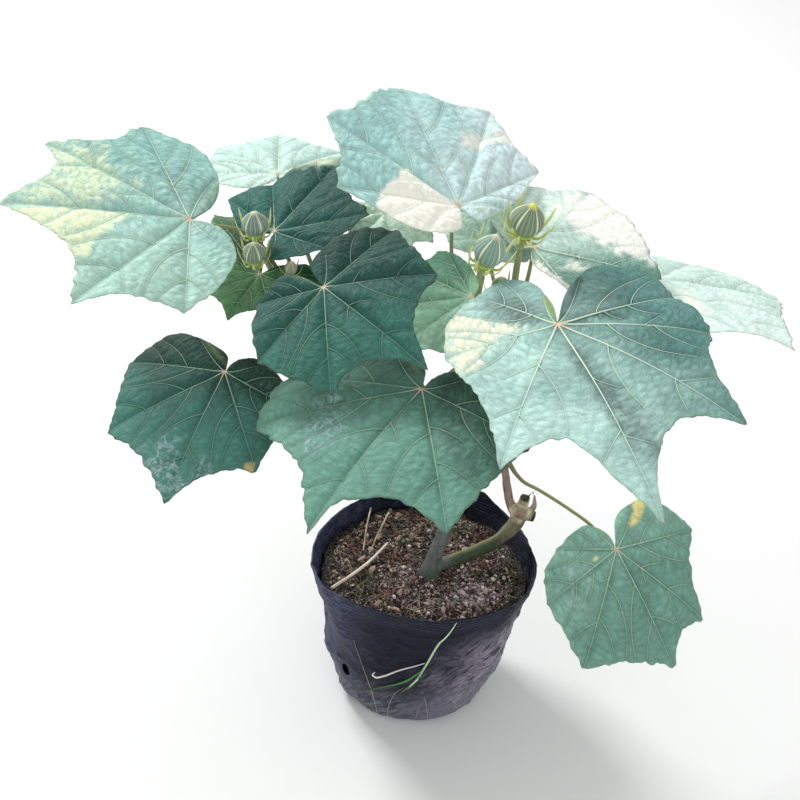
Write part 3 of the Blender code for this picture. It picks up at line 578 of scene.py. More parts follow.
# Puckers: cells about random centres, shorter outwards from the junction than round it; the height
# rises from the edges of a cell to its middle as the gap between the two nearest centres opens
def puckerField(flat, seed):
    rng = np.random.default_rng(seed)
    reach = np.abs(flat).max() + 6
    flat = flat + 1.6 * np.stack([noise(flat, 9, seed + 1, 2), noise(flat, 9, seed + 2, 2)], -1)
    pitch = math.sqrt(leafLook["puckerLength"] * leafLook["puckerBreadth"])
    lattice = np.arange(-reach, reach, pitch)
    centres = np.stack(np.meshgrid(lattice, lattice), -1).reshape(-1, 2)
    centres = centres + rng.uniform(-0.5, 0.5, centres.shape) * pitch
    heading = unit(flat + 1e-6)
    height = np.zeros(len(flat))
    for start in range(0, len(flat), 6000):  # in blocks, to save memory
        block = slice(start, start + 6000)
        gap = centres - flat[block, None]
        outward = (gap * heading[block, None]).sum(-1) / leafLook["puckerLength"]
        aslant = (gap[..., 0] * heading[block, None, 1] - gap[..., 1] * heading[block, None, 0])
        nearest = np.partition(np.hypot(outward, aslant / leafLook["puckerBreadth"]), 1, axis=1)[:, :2]
        height[block] = nearest[:, 1] - nearest[:, 0]
    return 1 - np.exp(-(height / 0.38) ** 2)


def patchShare(flat, patches, seed):  # 1 inside a patch's outline, 0 outside, its edge roughened by noise
    total = np.zeros(len(flat))
    for k, (soft, share, corners) in enumerate(patches):
        corners = polar(corners)
        after = np.roll(corners, -1, axis=0)
        distance = lineDistance(flat, np.vstack([corners, corners[:1]]))
        x, y = flat[:, :1], flat[:, 1:]
        cross = (corners[:, 1] > y) != (after[:, 1] > y)
        run = after - corners
        slope = run[:, 0] / np.where(run[:, 1] == 0, 1e-9, run[:, 1])
        hits = (cross & (x < corners[:, 0] + (y - corners[:, 1]) * slope)).sum(1)
        signed = np.where(hits % 2 == 1, distance, -distance)
        signed = signed + noise(flat, 5, seed + k, 2) * 0.6 * soft
        total = np.maximum(total, share * ease(signed, -soft, soft))
    return total


def leafMatrix(leaf):  # columns: ahead along the midrib, its left side, up, and the junction
    heading, rise, bank = (math.radians(leaf[key]) for key in ("heading", "rise", "bank"))
    ahead = np.array([math.cos(heading) * math.cos(rise), math.sin(heading) * math.cos(rise), math.sin(rise)])
    level = np.array([-math.sin(heading), math.cos(heading), 0.0])
    above = np.cross(ahead, level)
    side = level * math.cos(bank) + above * math.sin(bank)
    up = above * math.cos(bank) - level * math.sin(bank)
    return np.stack([ahead, side, up, np.array(leaf["at"]) * mm], -1)


# The blade bends down all round like a dome: ahead sin(droop r) / droop - up (1 - cos(droop r)) / droop,
# then rises along its own normal by the given height
def bendBlade(leaf, flat, height):
    reach = np.hypot(flat[:, 0], flat[:, 1])
    ahead = np.concatenate([flat / np.maximum(reach, 1e-9)[:, None], np.zeros((len(flat), 1))], -1)
    up = np.array([0.0, 0.0, 1.0])
    droop = leaf["droop"] * mm
    turn = (droop * reach)[:, None]
    height = np.asarray(height)[:, None]
    local = (ahead * np.sin(turn) / droop - up * (1 - np.cos(turn)) / droop
             + height * (up * np.cos(turn) + ahead * np.sin(turn)))
    matrix = leafMatrix(leaf)
    return local * mm @ matrix[:, :3].T + matrix[:, 3]


def sectorShares(sectors, flat):  # share across its sector and share out to the margin of any point
    curves = np.concatenate(sectors)
    angle = np.unwrap(np.arctan2(curves[:, 1], curves[:, 0]))
    angle = np.maximum.accumulate(angle)
    across = np.tile(np.linspace(0, 1, len(sectors[0])), len(sectors))
    own = angle[0] + np.mod(np.arctan2(flat[:, 1], flat[:, 0]) - angle[0], 2 * np.pi)
    margin = np.interp(own, angle, np.hypot(curves[:, 0], curves[:, 1]))
    return np.interp(own, angle, across), np.hypot(flat[:, 0], flat[:, 1]) / margin


def puckerRise(out):  # how far the puckers stand up: less by the junction and at the margin
    return leafLook["puckerHeight"] * ease(out, 0.02, 0.16) * (1 - 0.5 * np.clip(out, 0, 1) ** 12)


# Height over the flat blade: it swells between main veins by sin(pi across), has a groove
# exp(-(distance / width)^2) along each vein, and waves and falls at the margin
def bladeHeight(leaf, flat, across, out, main, side, seed):
    sag = leaf.get("sag", leafLook["sag"]) * np.sin(np.pi * np.clip(out, 0, 1))
    swell = (leaf["swell"] * out + sag) * np.sin(np.pi * across) - puckerRise(out) * leafLook["puckerLow"]
    groove = (leafLook["grooveDepth"] * np.exp(-(main / leafLook["grooveWidth"]) ** 2)
              + leafLook["sideGroove"] * np.exp(-(side / leafLook["grooveWidth"] * 1.5) ** 2))
    wave = leafLook["edgeWave"] * out**3 * noise(flat, 34, seed + 5, 2) - leafLook["edgeFall"] * out**10
    return swell - groove * ease(out, 0.0, 0.12) + wave


# A blade: the flat mesh, its heights, and one shading field for each thing its material shows
def makeBlade(name, leaf, seed):
    sectors = leafSectors(leaf)
    size = max(p[1] for p in leafOutline(leaf)[0])
    rows = max(leafLook["leastRows"], round(size / leafLook["rowPitch"]))
    flat, across, out, faces = bladeGrid(sectors, rows)
    scale = (size / 120) ** 0.4
    veins = leafVeins(sectors, scale, seed)
    main, side = veinFields(flat, veins)
    away = 1 - np.exp(-(np.minimum(main, side) / 2.8) ** 2)
    pucker = puckerField(flat, seed) * away
    height = bladeHeight(leaf, flat, across, out, main, side, seed)
    height = height + puckerRise(out) * pucker
    tooth = 1 + leafLook["edgeTooth"] / size * out**14 * noise(flat, 5.5, seed + 9, 2)
    points = bendBlade(leaf, flat * tooth[:, None], height)
    # fall: from the near to the far colour, the leaf's own tones with painted shade making one side darker
    turn = math.radians(leaf["toneTurn"])
    fall = (flat[:, 0] * math.cos(turn) + flat[:, 1] * math.sin(turn)) / (0.6 * size)
    fall = fall + leaf.get("toneShift", 0)
    notch = lineDistance(flat, np.stack([sectors[0][0], sectors[0][len(sectors[0]) // 3]]))
    notchFold = np.exp(-(notch / 2.4) ** 2) * leaf.get("foldTint", 0.25)
    values = {"relief": pucker, "fall": ease(fall + 0.3 * noise(flat, 30, seed + 3, 2), -1, 1),
              "notchFold": notchFold * ease(out, 0.2, 0.6),
              "sunlit": patchShare(flat, leaf.get("lit", ()), seed + 20),
              "dusty": patchShare(flat, leaf.get("dust", ()), seed + 40),
              "shaded": patchShare(flat, leaf.get("shade", ()), seed + 60),
              "margin": out**50, "veinGrooveShade": np.exp(-(np.minimum(main, side * 1.4) / 1.7) ** 2)}
    reach, bearing = np.hypot(flat[:, 0], flat[:, 1]), np.arctan2(flat[:, 1], flat[:, 0])
    part = {"points": points, "faces": [faces], "values": values,
            "bladeMap": flat / leafLook["mapWidth"] + 0.5,
            "ringMap": np.stack([reach, 0.36 * reach * bearing], -1) / leafLook["mapWidth"]}
    short = name.replace("leaf_", "")
    blade = addPiece("blade_" + short, part, [leafSkin(short, leaf), leafUnderside(short, leaf)],
                     stands=(name,))
    film = blade.modifiers.new("film", "SOLIDIFY")
    film.thickness = leafLook["film"] * mm
    film.offset = 0
    film.material_offset = 1
    film.material_offset_rim = 0
    makeVeins(short, leaf, sectors, veins, seed)


# Veins: flattened tubes that follow the blade, a little proud above and more below
def makeVeins(short, leaf, sectors, veins, seed):
    parts = []
    up = leafMatrix(leaf)[:, 2]
    main, side = np.zeros(1), np.full(1, 99.0)
    for vein in veins:
        across, out = sectorShares(sectors, vein["line"])
        if vein["main"] == 1:
            across = across * 0
        depth = (main, side) if vein["main"] else (side, main)
        height = bladeHeight(leaf, vein["line"], across, out, depth[0], depth[1], seed)
        lift = -0.16 * vein["width"] if vein["main"] else 0.22
        line = bendBlade(leaf, vein["line"], height + leafLook["film"] / 2 + lift)
        along = vein["along"] if vein["main"] else 0.35 + 0.5 * vein["along"]
        parts.append(tubePart(line, vein["width"] / 2 * mm, 7 if vein["main"] else 5, flatten=0.85,
                              guide=np.cross(up, line[-1] - line[0]), values={"along": along}))
    parts.append(junctionKnob(leaf))
    addPiece("veins_" + short, joinParts(parts), [veinSkin(short, leaf)])


def junctionKnob(leaf):  # a low button where the veins meet
    turn = turnsRound(14)
    share = np.linspace(0.08, 0.92, 7)
    radius = 1.9 * np.sin(np.pi * share) ** 0.8
    level = -1.3 + 1.6 * share
    matrix = leafMatrix(leaf)
    part = ringBody(np.stack([radius[:, None] * np.cos(turn), radius[:, None] * np.sin(turn),
                              level[:, None] + 0 * turn], -1), (0, 0, -1.5), (0, 0, 0.75))
    part["points"] = part["points"] * mm @ matrix[:, :3].T + matrix[:, 3]
    part["values"] = {"along": np.zeros(len(part["points"]))}
    return part


# The upper side: from near to far colour with "fall", partly painted shade, a pale net of small veins,
# tone from noise, painted light on the puckers, painted shade in the vein grooves and the shaded
# patches, a painted highlight, then the painted sunlit patches, the dusty and the folded parts
def leafSkin(short, leaf):
    skin = Skin("skin_" + short, 0.62, 0.22, 0.05)
    place = skin.flatMap("bladeMap")
    cloud = skin.grain(place, 11, 4, 0.6)
    ring = skin.flatMap("ringMap")
    mottle = skin.grain(ring, 96, 4, 0.65)
    speck = skin.grain(place, 280, 3, 0.7)
    relief = skin.field("relief")
    calm = leaf.get("calm", 1.0)
    # near to far: the leaf's own tones, with painted shade on one side
    skin.colour = skin.mix(skin.field("fall"), leaf["near"], leaf["far"])
    net = skin.cells(place, 84)
    lines = skin.step(net, 0.0, 0.08, 0.13, 0.0)
    skin.over(lines, between(leaf["near"], (225, 235, 205), 0.5))
    # painted light on the puckers: their tops lighter, the dips between them darker
    shade = skin.calc("MULTIPLY_ADD", relief, 0.26, -0.18)
    for field, share in ((cloud, 0.6), (mottle, 0.75 * calm), (speck, 0.35 * calm)):
        shade = skin.plus(shade, skin.swing(field, share))
    # painted shade in the grooves along the veins
    shade = skin.minus(shade, skin.times(skin.field("veinGrooveShade"), 0.16 * calm))
    shade = skin.minus(shade, skin.times(skin.field("shaded"), 0.6))
    level = skin.calc("MAXIMUM", skin.plus(shade, 1.08), 0.3)
    skin.colour = skin.add("VectorMath", {0: skin.colour, "Scale": level}, operation="SCALE")[0]
    # painted highlight: where the shade runs high the colour turns paler and greyer, as a sheen
    paintedHighlight = between(leaf["near"], (232, 240, 234), 0.6)
    skin.over(skin.step(shade, 0.0, 0.5, 0.0, 0.3), paintedHighlight)
    # lit patches, broken up where the blade dips
    patchy = leaf.get("patchy", 0.3)
    inner = skin.step(skin.plus(relief, skin.times(speck, 0.9)), 0.3, 1.0, 1 - 1.25 * patchy, 1.0)
    sunlit = skin.times(skin.field("sunlit"), inner)
    sunlit = skin.plus(sunlit, skin.swing(mottle, 0.5))
    warm = between(leaf["sun"], (206, 190, 150), 0.5)
    sun = skin.mix(skin.step(speck, 0.3, 0.6, 0.4, 0.0), leaf["sun"], warm)
    skin.over(skin.step(sunlit, 0.08, 1.0), sun)
    film = skin.times(skin.field("dusty"), skin.step(skin.grain(place, 42, 6, 0.8, 1.2), 0.46, 0.62))
    skin.over(skin.times(film, 0.75), (190, 208, 218))
    skin.over(skin.field("notchFold"), (160, 184, 104))
    rim = skin.times(skin.field("margin"), 0.35)
    skin.over(rim, between(leaf["far"], (170, 160, 110), 0.5))
    ridges = skin.bump(skin.step(net, 0.0, 0.25), 0.22, 0.0006)
    return skin.finish(skin.bump(mottle, 0.75, 0.0016, ridges), skin.step(mottle, 0.3, 0.7, 0.5, 0.75))


def leafUnderside(short, leaf):  # paler and flatter than the upper side, with a raised net
    skin = Skin("underside_" + short, 0.75, 0.2, 0.1)
    place = skin.flatMap("bladeMap")
    tone = between(leaf["near"], (176, 196, 168), 0.6)
    skin.colour = skin.mix(skin.grain(place, 60, 4), between(tone, (90, 120, 90), 0.35), tone)
    net = skin.cells(place, 88)
    skin.over(skin.step(net, 0.0, 0.12, 0.45, 0.0), between(tone, (220, 226, 196), 0.6))
    return skin.finish(skin.bump(skin.step(net, 0.0, 0.2, 1.0, 0.0), 0.4, 0.0006))


def veinSkin(short, leaf):  # pinkish by the junction, pale along the vein, greener at its end
    skin = Skin("vein_" + short, 0.6, 0.3)
    along = skin.field("along")
    pale = 0.75 if isPale(leaf) else 0.55
    start, mid = (222, 196, 172), between(leaf["near"], (234, 246, 216), pale)
    end = between(leaf["near"], (224, 242, 212), 0.55 * pale)
    skin.colour = skin.mix(skin.step(along, 0.0, 0.09), start, mid)
    skin.over(skin.step(along, 0.2, 0.8), end)
    return skin.finish()


for number, (leafName, leafShape) in enumerate(leafTable.items()):
    makeBlade(leafName, leafShape, 100 * number + 7)
print("leaves made:", len(leafTable))


# Shoots with their leaf stalks and bud stalks

shoots = {
    "left_shoot": dict(path=((13.3, 2.4, 247), (9, 2.6, 247.5), (-14, 8, 284), (-50, 8, 322), (-95, 6, 350),
                             (-122, 5, 360)), radii=(3.6, 3.6, 3.5, 3.2, 2.8, 2.2)),
    "centre_shoot": dict(path=((18, 4.05, 258.4), (17.7, 4.6, 262.4), (20, 6, 300), (22, 0, 340),
                               (23, -12, 372), (25, -16, 392)), radii=(4.0, 4.0, 3.6, 3.2, 2.6, 2.0)),
    "right_shoot": dict(path=((59.9, 29, 198.4), (58.9, 29, 202.4), (57, 27, 230), (54, 20, 290),
                              (51, 12, 350), (50, 8, 378), (50.5, 5, 410)),
                        radii=(3.2, 3.2, 3.0, 2.8, 2.6, 2.5, 2.4)),
}
leafStalks = {
    "leaf_far_left": ("left_shoot", ((-112, 5, 357), (-122, 12, 369), (-140, 18, 390), (-166, 8, 403))),
    "leaf_inner_left": ("left_shoot", ((-100, 6, 352), (-112, 14, 372))),
    "leaf_back_left": ("left_shoot", ((-85, 7, 344), (-104, 45, 368), (-125, 92, 382))),
    "leaf_bud_left": ("left_shoot", ((-114, 5, 357), (-126, 3, 358))),
    "leaf_low_left": ("left_shoot", ((-14, 8, 284), (-60, -14, 292), (-108, -34, 300), (-136, -50, 312))),
    "leaf_centre": ("left_shoot", ((-50, 8, 322), (-66, -16, 350), (-80, -46, 382))),
    "leaf_top": ("centre_shoot", ((21, 3, 320), (8, 16, 362), (2, 25, 398))),
    "leaf_front": ("centre_shoot", ((20, 5, 300), (12, -30, 322), (0, -80, 340))),
    "leaf_inner_centre": ("centre_shoot", ((22, -4, 350), (21, -22, 368))),
    "leaf_under_top": ("centre_shoot", ((20, 6, 296), (-12, 24, 345), (-42, 44, 382))),
    "leaf_front_right": ("right_shoot", ((54, 20, 292), (60, -20, 345), (72, -76, 388))),
    "leaf_back_right": ("right_shoot", ((52, 14, 340), (60, 20, 376))),
    "leaf_far_right": ("right_shoot", ((54, 20, 285), (90, 30, 315), (138, 42, 348))),
    "leaf_low_right": ("right_shoot", ((58.5, 29, 205), (64, 27, 201.5), (68.5, 25.5, 195.5), (74, 22.5, 191),
                                       (88, 15, 188), (112, 1, 182), (130, -9, 175))),
    "leaf_behind_bud": ("right_shoot", ((54, 20, 290), (44, 32, 340), (33, 42, 370))),
}
stalkLook = {"radii": (1.8, 1.3, 1.25), "flare": 1.5, "flareLength": 7, "seat": 0.5, "sides": 14, "steps": 12}

# Flower buds: foot of the calyx, lean of its axis, radius, height, the stalk that carries it,
# and the colours of its body and ribs
buds = {
    "bud_left_upper": dict(foot=(-138, 4, 400), lean=(-0.06, -0.05), radius=9.5, height=20, ribs=9, bracts=8,
                           spread=1.3, stalk=("left_shoot", ((-118, 5, 358), (-129, 12, 372),
                                                             (-133, 10, 385)), 1.8),
                           body=(128, 148, 138), rib=(206, 222, 186), tip=(226, 226, 200)),
    "bud_left_lower": dict(foot=(-136, -16, 390), lean=(-0.05, -0.25), radius=8, height=18, ribs=9, bracts=8,
                           spread=1.28, stalk=("left_shoot", ((-119, 5, 359), (-127, 10, 372),
                                                              (-131, 5, 382)), 1.6),
                           body=(120, 140, 120), rib=(186, 202, 160), tip=(190, 200, 160)),
    "bud_middle": dict(foot=(25, -18, 403), lean=(0.28, -0.15), radius=11, height=28, ribs=10, bracts=9,
                       spread=1.33, stalk=("centre_shoot", ((24, -15, 386),), 2.2),
                       body=(140, 172, 158), rib=(214, 232, 196), tip=(222, 218, 190)),
    "bud_top_right": dict(foot=(51, 4, 418), lean=(0.2, -0.2), radius=12, height=28, ribs=10, bracts=10,
                          spread=1.4, stalk=("right_shoot", ((50.5, 5, 406),), 2.6),
                          body=(126, 148, 122), rib=(214, 222, 168), tip=(236, 234, 110)),
    "bud_small_middle": dict(foot=(40, -4, 372), lean=(-0.05, -0.3), radius=7, height=18, ribs=6, bracts=6,
                             spread=1.4, stalk=("right_shoot", ((52, 13, 345), (42, 2, 360)), 1.6),
                             body=(104, 132, 96), rib=(160, 186, 120), tip=(170, 190, 130)),
    "bud_small_left": dict(foot=(-111, -12, 380), lean=(0.1, -0.3), radius=4.5, height=13, ribs=6, bracts=6,
                           spread=1.5, stalk=("left_shoot", ((-96, 6, 351), (-103, -4, 362)), 1.4),
                           body=(170, 168, 140), rib=(200, 196, 170), tip=(206, 196, 170)),
}
budLook = {"rings": 30, "ribSteps": 12, "ribHeight": 0.05, "receptacle": 2.2, "gap": 0.3}


def budAxes(bud):  # the foot of the calyx, two directions across it and its axis
    axis = unit(np.array([bud["lean"][0], bud["lean"][1], 1.0]))
    first = unit(np.cross([0.0, 1.0, 0.0], axis))
    return np.array(bud["foot"], float), first, np.cross(axis, first), axis


def stalkRoute(leaf, points):  # a leaf stalk's own points, then straight up to the blade's underside
    matrix = leafMatrix(leaf)
    up, at = matrix[:, 2], np.array(leaf["at"], float)
    return (*points, tuple(at - up * 8), tuple(at - up * 4), tuple(at - up * stalkLook["seat"]))


# A stalk: a tube whose radius flares by exp(-distance / flareLength) where it leaves the shoot,
# with low ribs along it
def stalkPart(path, radii, flare, seed, young):
    line = smoothSpans(path, stalkLook["steps"])
    run = runAlong(line)
    size = drawnOut(radii, len(line))
    size = size + flare * np.exp(-(run / stalkLook["flareLength"]) ** 1.4)
    turn = turnsRound(stalkLook["sides"])
    place = np.stack(np.broadcast_arrays(run[:, None] / 9, np.cos(turn) * 1.5, np.sin(turn) * 1.5), -1)
    rib = 1 + 0.05 * np.cos(5 * turn + 0.02 * run[:, None]) + 0.05 * noise(place, 1, seed, 2)
    values = {"along": np.linspace(0, 1, len(line)), "young": young}
    return tubePart(line * mm, size[:, None] * rib * mm, stalkLook["sides"], values=values)


def nodeCollar(shape, place):  # a swollen ring round the shoot where a stalk leaves it
    line = smoothSpans(shape["path"], 8)
    near = np.argmin(np.linalg.norm(line - np.array(place), axis=1))
    near = min(max(near, 2), len(line) - 3)
    direction = unit(line[near + 1] - line[near - 1])
    radius = drawnOut(shape["radii"], len(line))[near]
    share = np.linspace(-1, 1, 11)
    ring = line[near] + direction * share[:, None] * 5
    size = radius * 0.9 + 0.75 * np.exp(-(share / 0.5) ** 2) - 0.5 * share**4
    return tubePart(ring * mm, size * mm, stalkLook["sides"], values={"along": 0.3, "young": 0.4})


def makeShoot(name, shape, seed):  # the shoot, its leaf stalks with their collars, and its bud stalks
    parts = [stalkPart(shape["path"], shape["radii"], 0.0, seed, 0.25)]
    for i, (leafName, (shoot, points)) in enumerate(leafStalks.items()):
        if shoot == name:
            route = stalkRoute(leafTable[leafName], points)
            parts.append(stalkPart(route, stalkLook["radii"], stalkLook["flare"], seed + i, 0.75))
            parts.append(nodeCollar(shape, points[0]))
    for i, bud in enumerate(buds.values()):
        shoot, points, radius = bud["stalk"]
        if shoot == name:
            foot, axis = budAxes(bud)[::3]
            end = foot - axis * (budLook["receptacle"] + 2 * budLook["gap"])
            route = (*points, tuple(end - axis * 4), tuple(end))
            parts.append(stalkPart(route, (radius, radius), 0.3, seed + 40 + i, 1.0))
    addPiece("stalks_" + name.replace("_shoot", ""), joinParts(parts), [shootSkin(name)], stands=(name,))


def shootSkin(name):  # brown and green bark on the shoot, pink to green along a stalk, with lenticels
    skin = Skin("skin_" + name, 0.55, 0.4, 0.2)
    place = skin.place()
    along, young = skin.field("along"), skin.field("young")
    streak = skin.grain(skin.stretch(place, (1, 1, 0.25)), 420, 4, 0.6)
    blot = skin.grain(place, 60, 4, 0.6)
    stem = skin.mix(skin.step(blot, 0.4, 0.65), (104, 118, 78), (120, 100, 84))
    stalk = skin.mix(skin.step(along, 0.05, 0.85), (140, 118, 92), (168, 176, 112))
    skin.colour = skin.mix(young, stem, stalk)
    skin.over(skin.step(young, 0.8, 0.95), (172, 188, 132))
    level = skin.axes(place)[2]
    skin.over(skin.step(level, 0.3, 0.36, 0.0, 0.65), (142, 160, 104))
    skin.over(skin.times(streak, 0.5), (88, 92, 62))
    skin.over(skin.times(skin.step(skin.grain(place, 900, 2), 0.6, 0.7), 0.5), (196, 202, 168))
    return skin.finish(skin.bump(streak, 0.35, 0.0005))


for number, (shootName, shootShape) in enumerate(shoots.items()):
    makeShoot(shootName, shootShape, 900 + 50 * number)
print("shoots made:", len(shoots))


# Calyx: radius x sin(pi share^0.82)^0.8, with narrow ribs raised where cos(ribs turn) peaks and five
# soft folds that close towards the tip
def makeCalyx(name, bud):
    foot, first, second, axis = budAxes(bud)
    ribs = bud["ribs"]
    turn = turnsRound(ribs * budLook["ribSteps"])
    share = np.linspace(0.004, 0.992, budLook["rings"])[:, None]
    profile = np.sin(np.pi * share**0.82) ** 0.8
    crest = np.clip(np.cos(2 * ribs * turn + 1.2 * share), 0, 1) ** 2.5
    fold = (np.cos(2.5 * turn - 0.785) ** 2) ** (48 - 20 * share) * ease(share, 0.1, 0.6)
    body = 1 + budLook["ribHeight"] * crest * (1 - fold) + 0.1 * fold - 0.03
    radius = bud["radius"] * profile * body
    level = bud["height"] * (share + 0 * turn)
    rings = foot + radius[..., None] * (circle(turn) @ np.array([first, second])) + axis * level[..., None]
    fields = {"rib": 0.6 * crest, "high": share, "seam": fold}
    values = {key: np.append(np.broadcast_to(field, radius.shape), [0, 1]) for key, field in fields.items()}
    part = ringBody(rings * mm, foot * mm, (foot + axis * bud["height"]) * mm, values)
    addPiece(name.replace("bud_", "calyx_"), part, [calyxSkin(name, bud)], stands=(name,))


def calyxSkin(name, bud):  # felt, with pale ribs and seams and a pale tip
    skin = Skin("skin_" + name, 0.7, 0.3, 0.3)
    place = skin.place()
    fuzz = skin.grain(place, 700, 3, 0.6)
    body = skin.mix(fuzz, between(bud["body"], (60, 80, 66), 0.35), bud["body"])
    rib = between(bud["rib"], (255, 255, 240), 0.3)
    skin.colour = skin.mix(skin.step(skin.field("rib"), 0.1, 1.0), body, rib)
    skin.over(skin.step(skin.field("seam"), 0.15, 0.7), between(bud["rib"], (244, 248, 214), 0.6))
    high = skin.field("high")
    skin.over(skin.step(high, 0.86, 1.0), bud["tip"])
    skin.over(skin.step(high, 0.12, 0.0, 0.0, 0.6), (150, 168, 92))
    return skin.finish(skin.bump(fuzz, 0.4, 0.0004))


# Bracts: narrow blades, wider than thick, that leave a small disc and curve up round the calyx;
# the width grows to the middle of the length and runs out to a point
def makeBracts(name, bud, seed):
    foot, first, second, axis = budAxes(bud)
    size, height = bud["radius"], bud["height"]
    base = foot - axis * budLook["gap"]
    cup = np.linspace(0, 1, 10)[:, None]
    cupLine = base - axis * budLook["receptacle"] + axis * cup * (budLook["receptacle"] + 0.13 * height)
    cupSize = size * (0.2 + 0.6 * cup[:, 0] ** 0.45) * (1 - 0.25 * cup[:, 0] ** 9)
    parts = [tubePart(cupLine * mm, cupSize * mm, 24, values={"along": 0.0, "edge": 0.2})]
    rng = np.random.default_rng(seed)
    share = np.linspace(0, 1, 22)
    for i in range(bud["bracts"]):
        turn = 2 * math.pi * i / bud["bracts"]
        out = first * math.cos(turn) + second * math.sin(turn)
        aside = np.cross(axis, out)
        flare = 1.0 + 0.12 * math.sin(2.4 * i)
        shorter = 1 - 0.62 * max(-out[1], 0) ** 1.5
        spread = bud["spread"] * flare
        stations = ((0.4, -1.2), (0.92, -0.03 * height),
                    (1 + (spread - 1) * shorter, 0.27 * height * shorter),
                    (1 + (1.2 * spread - 1) * shorter, 0.78 * height * flare * shorter))
        route = np.array([base + out * reach * size + axis * level for reach, level in stations])
        line = evenCurve(route, len(share)) + aside * (rng.uniform(-1, 1) * 0.16 * size * share**2)[:, None]
        width = (1.3 + 0.7 * np.sin(np.pi * np.clip(share**0.7, 0, 1)) ** 0.9) * (1 - 0.35 * share)
        width = np.maximum(width * size / 12 * (1 - share**9), 0.06)
        parts.append(tubePart(line * mm, width * mm, 8, flatten=0.28, guide=aside,
                              values={"along": share, "edge": 0.5 + 0.5 * rng.uniform(-1, 1)}))
    addPiece("bracts_" + name.replace("bud_", ""), joinParts(parts), [bractSkin(name, bud)],
             stands=(name + "_bracts",))


def bractSkin(name, bud):  # greener at the foot, yellower towards the tip
    skin = Skin("bract_" + name, 0.55, 0.4, 0.2)
    base, top = between(bud["rib"], (150, 182, 70), 0.75), between(bud["rib"], (246, 246, 176), 0.7)
    skin.colour = skin.mix(skin.field("along"), base, top)
    skin.over(skin.times(skin.field("edge"), 0.35), (222, 204, 120))
    spots = skin.grain(skin.place(), 500, 3)
    skin.over(skin.step(spots, 0.5, 0.7, 0.0, 0.25), (130, 156, 80))
    return skin.finish(skin.bump(spots, 0.3, 0.0004))


for number, (budName, budShape) in enumerate(buds.items()):
    makeCalyx(budName, budShape)
    makeBracts(budName, budShape, 1300 + number)
print("buds made:", len(buds))


# Woody stem: trunk, side branch, pruned knob and stubs, fused by a voxel remesh and roughened

woodyStem = (
    dict(path=((5, -12, 62), (5.5, -12, 95), (6, -12, 113), (10, -12, 132), (16, -10, 157),
               (20, -6, 192), (20, 0, 230), (18, 4, 258)),
         radii=(6.0, 6.5, 7.6, 6.2, 5.8, 5.4, 5.0, 4.6)),
    dict(path=((7, -12, 108), (8, -12, 117), (10, -12, 130)), radii=(13, 9.6, 6.6)),
    dict(path=((12, -11, 126), (24, -6, 127), (44, 6, 130), (64, 18, 137), (74, 25, 147), (77, 27, 159)),
         radii=(5.2, 5.2, 5.0, 5.2, 6.4, 7.4)),
    dict(path=((75, 23, 157), (76, 23, 160), (77, 24, 163)), radii=(5.4, 6.8, 5.0)),
    dict(path=((77, 27, 155), (78, 28, 163), (79.5, 29, 171)), radii=(5.5, 4.6, 4.2)),
    dict(path=((77, 27, 156), (82, 25, 156), (88.5, 23, 155.5)), radii=(5.5, 5.0, 4.4)),
    dict(path=((82, 25, 158), (85, 23, 166), (85, 23, 182)), radii=(2.2, 1.2, 0.7)),
    dict(path=((84, 25, 156), (88, 22, 166), (87, 20, 180), (90, 17, 185)), radii=(2.0, 0.9, 0.7, 0.5)),
    dict(path=((80, 28, 168), (83, 26, 176), (86, 20, 184)), radii=(1.6, 0.8, 0.6)),
    dict(path=((74, 26, 153), (68.5, 28, 162), (64.2, 29, 177), (60, 29, 198)), radii=(5, 4.0, 3.4, 3.2)),
)
woodLook = {"voxel": 0.85, "smoothing": 4, "fissure": 0.28, "lump": 0.5,
            "cuts": ((79.5, 28, 171), (89, 22, 155.5)), "cutReach": (3.3, 5.6), "knob": (76, 23, 160),
            "dry": (86, 21, 178)}


def applyModifiers(piece):  # puts the modified mesh in place of the plain one
    bpy.context.view_layer.update()
    shaped = piece.evaluated_get(bpy.context.evaluated_depsgraph_get())
    mesh = bpy.data.meshes.new_from_object(shaped)
    piece.modifiers.clear()
    piece.data = mesh


def meshField(mesh, key):  # the places or normals of a mesh's points
    values = np.empty(len(mesh.vertices) * 3, np.float32)
    mesh.vertices.foreach_get(key, values)
    return values.reshape(-1, 3).astype(float)


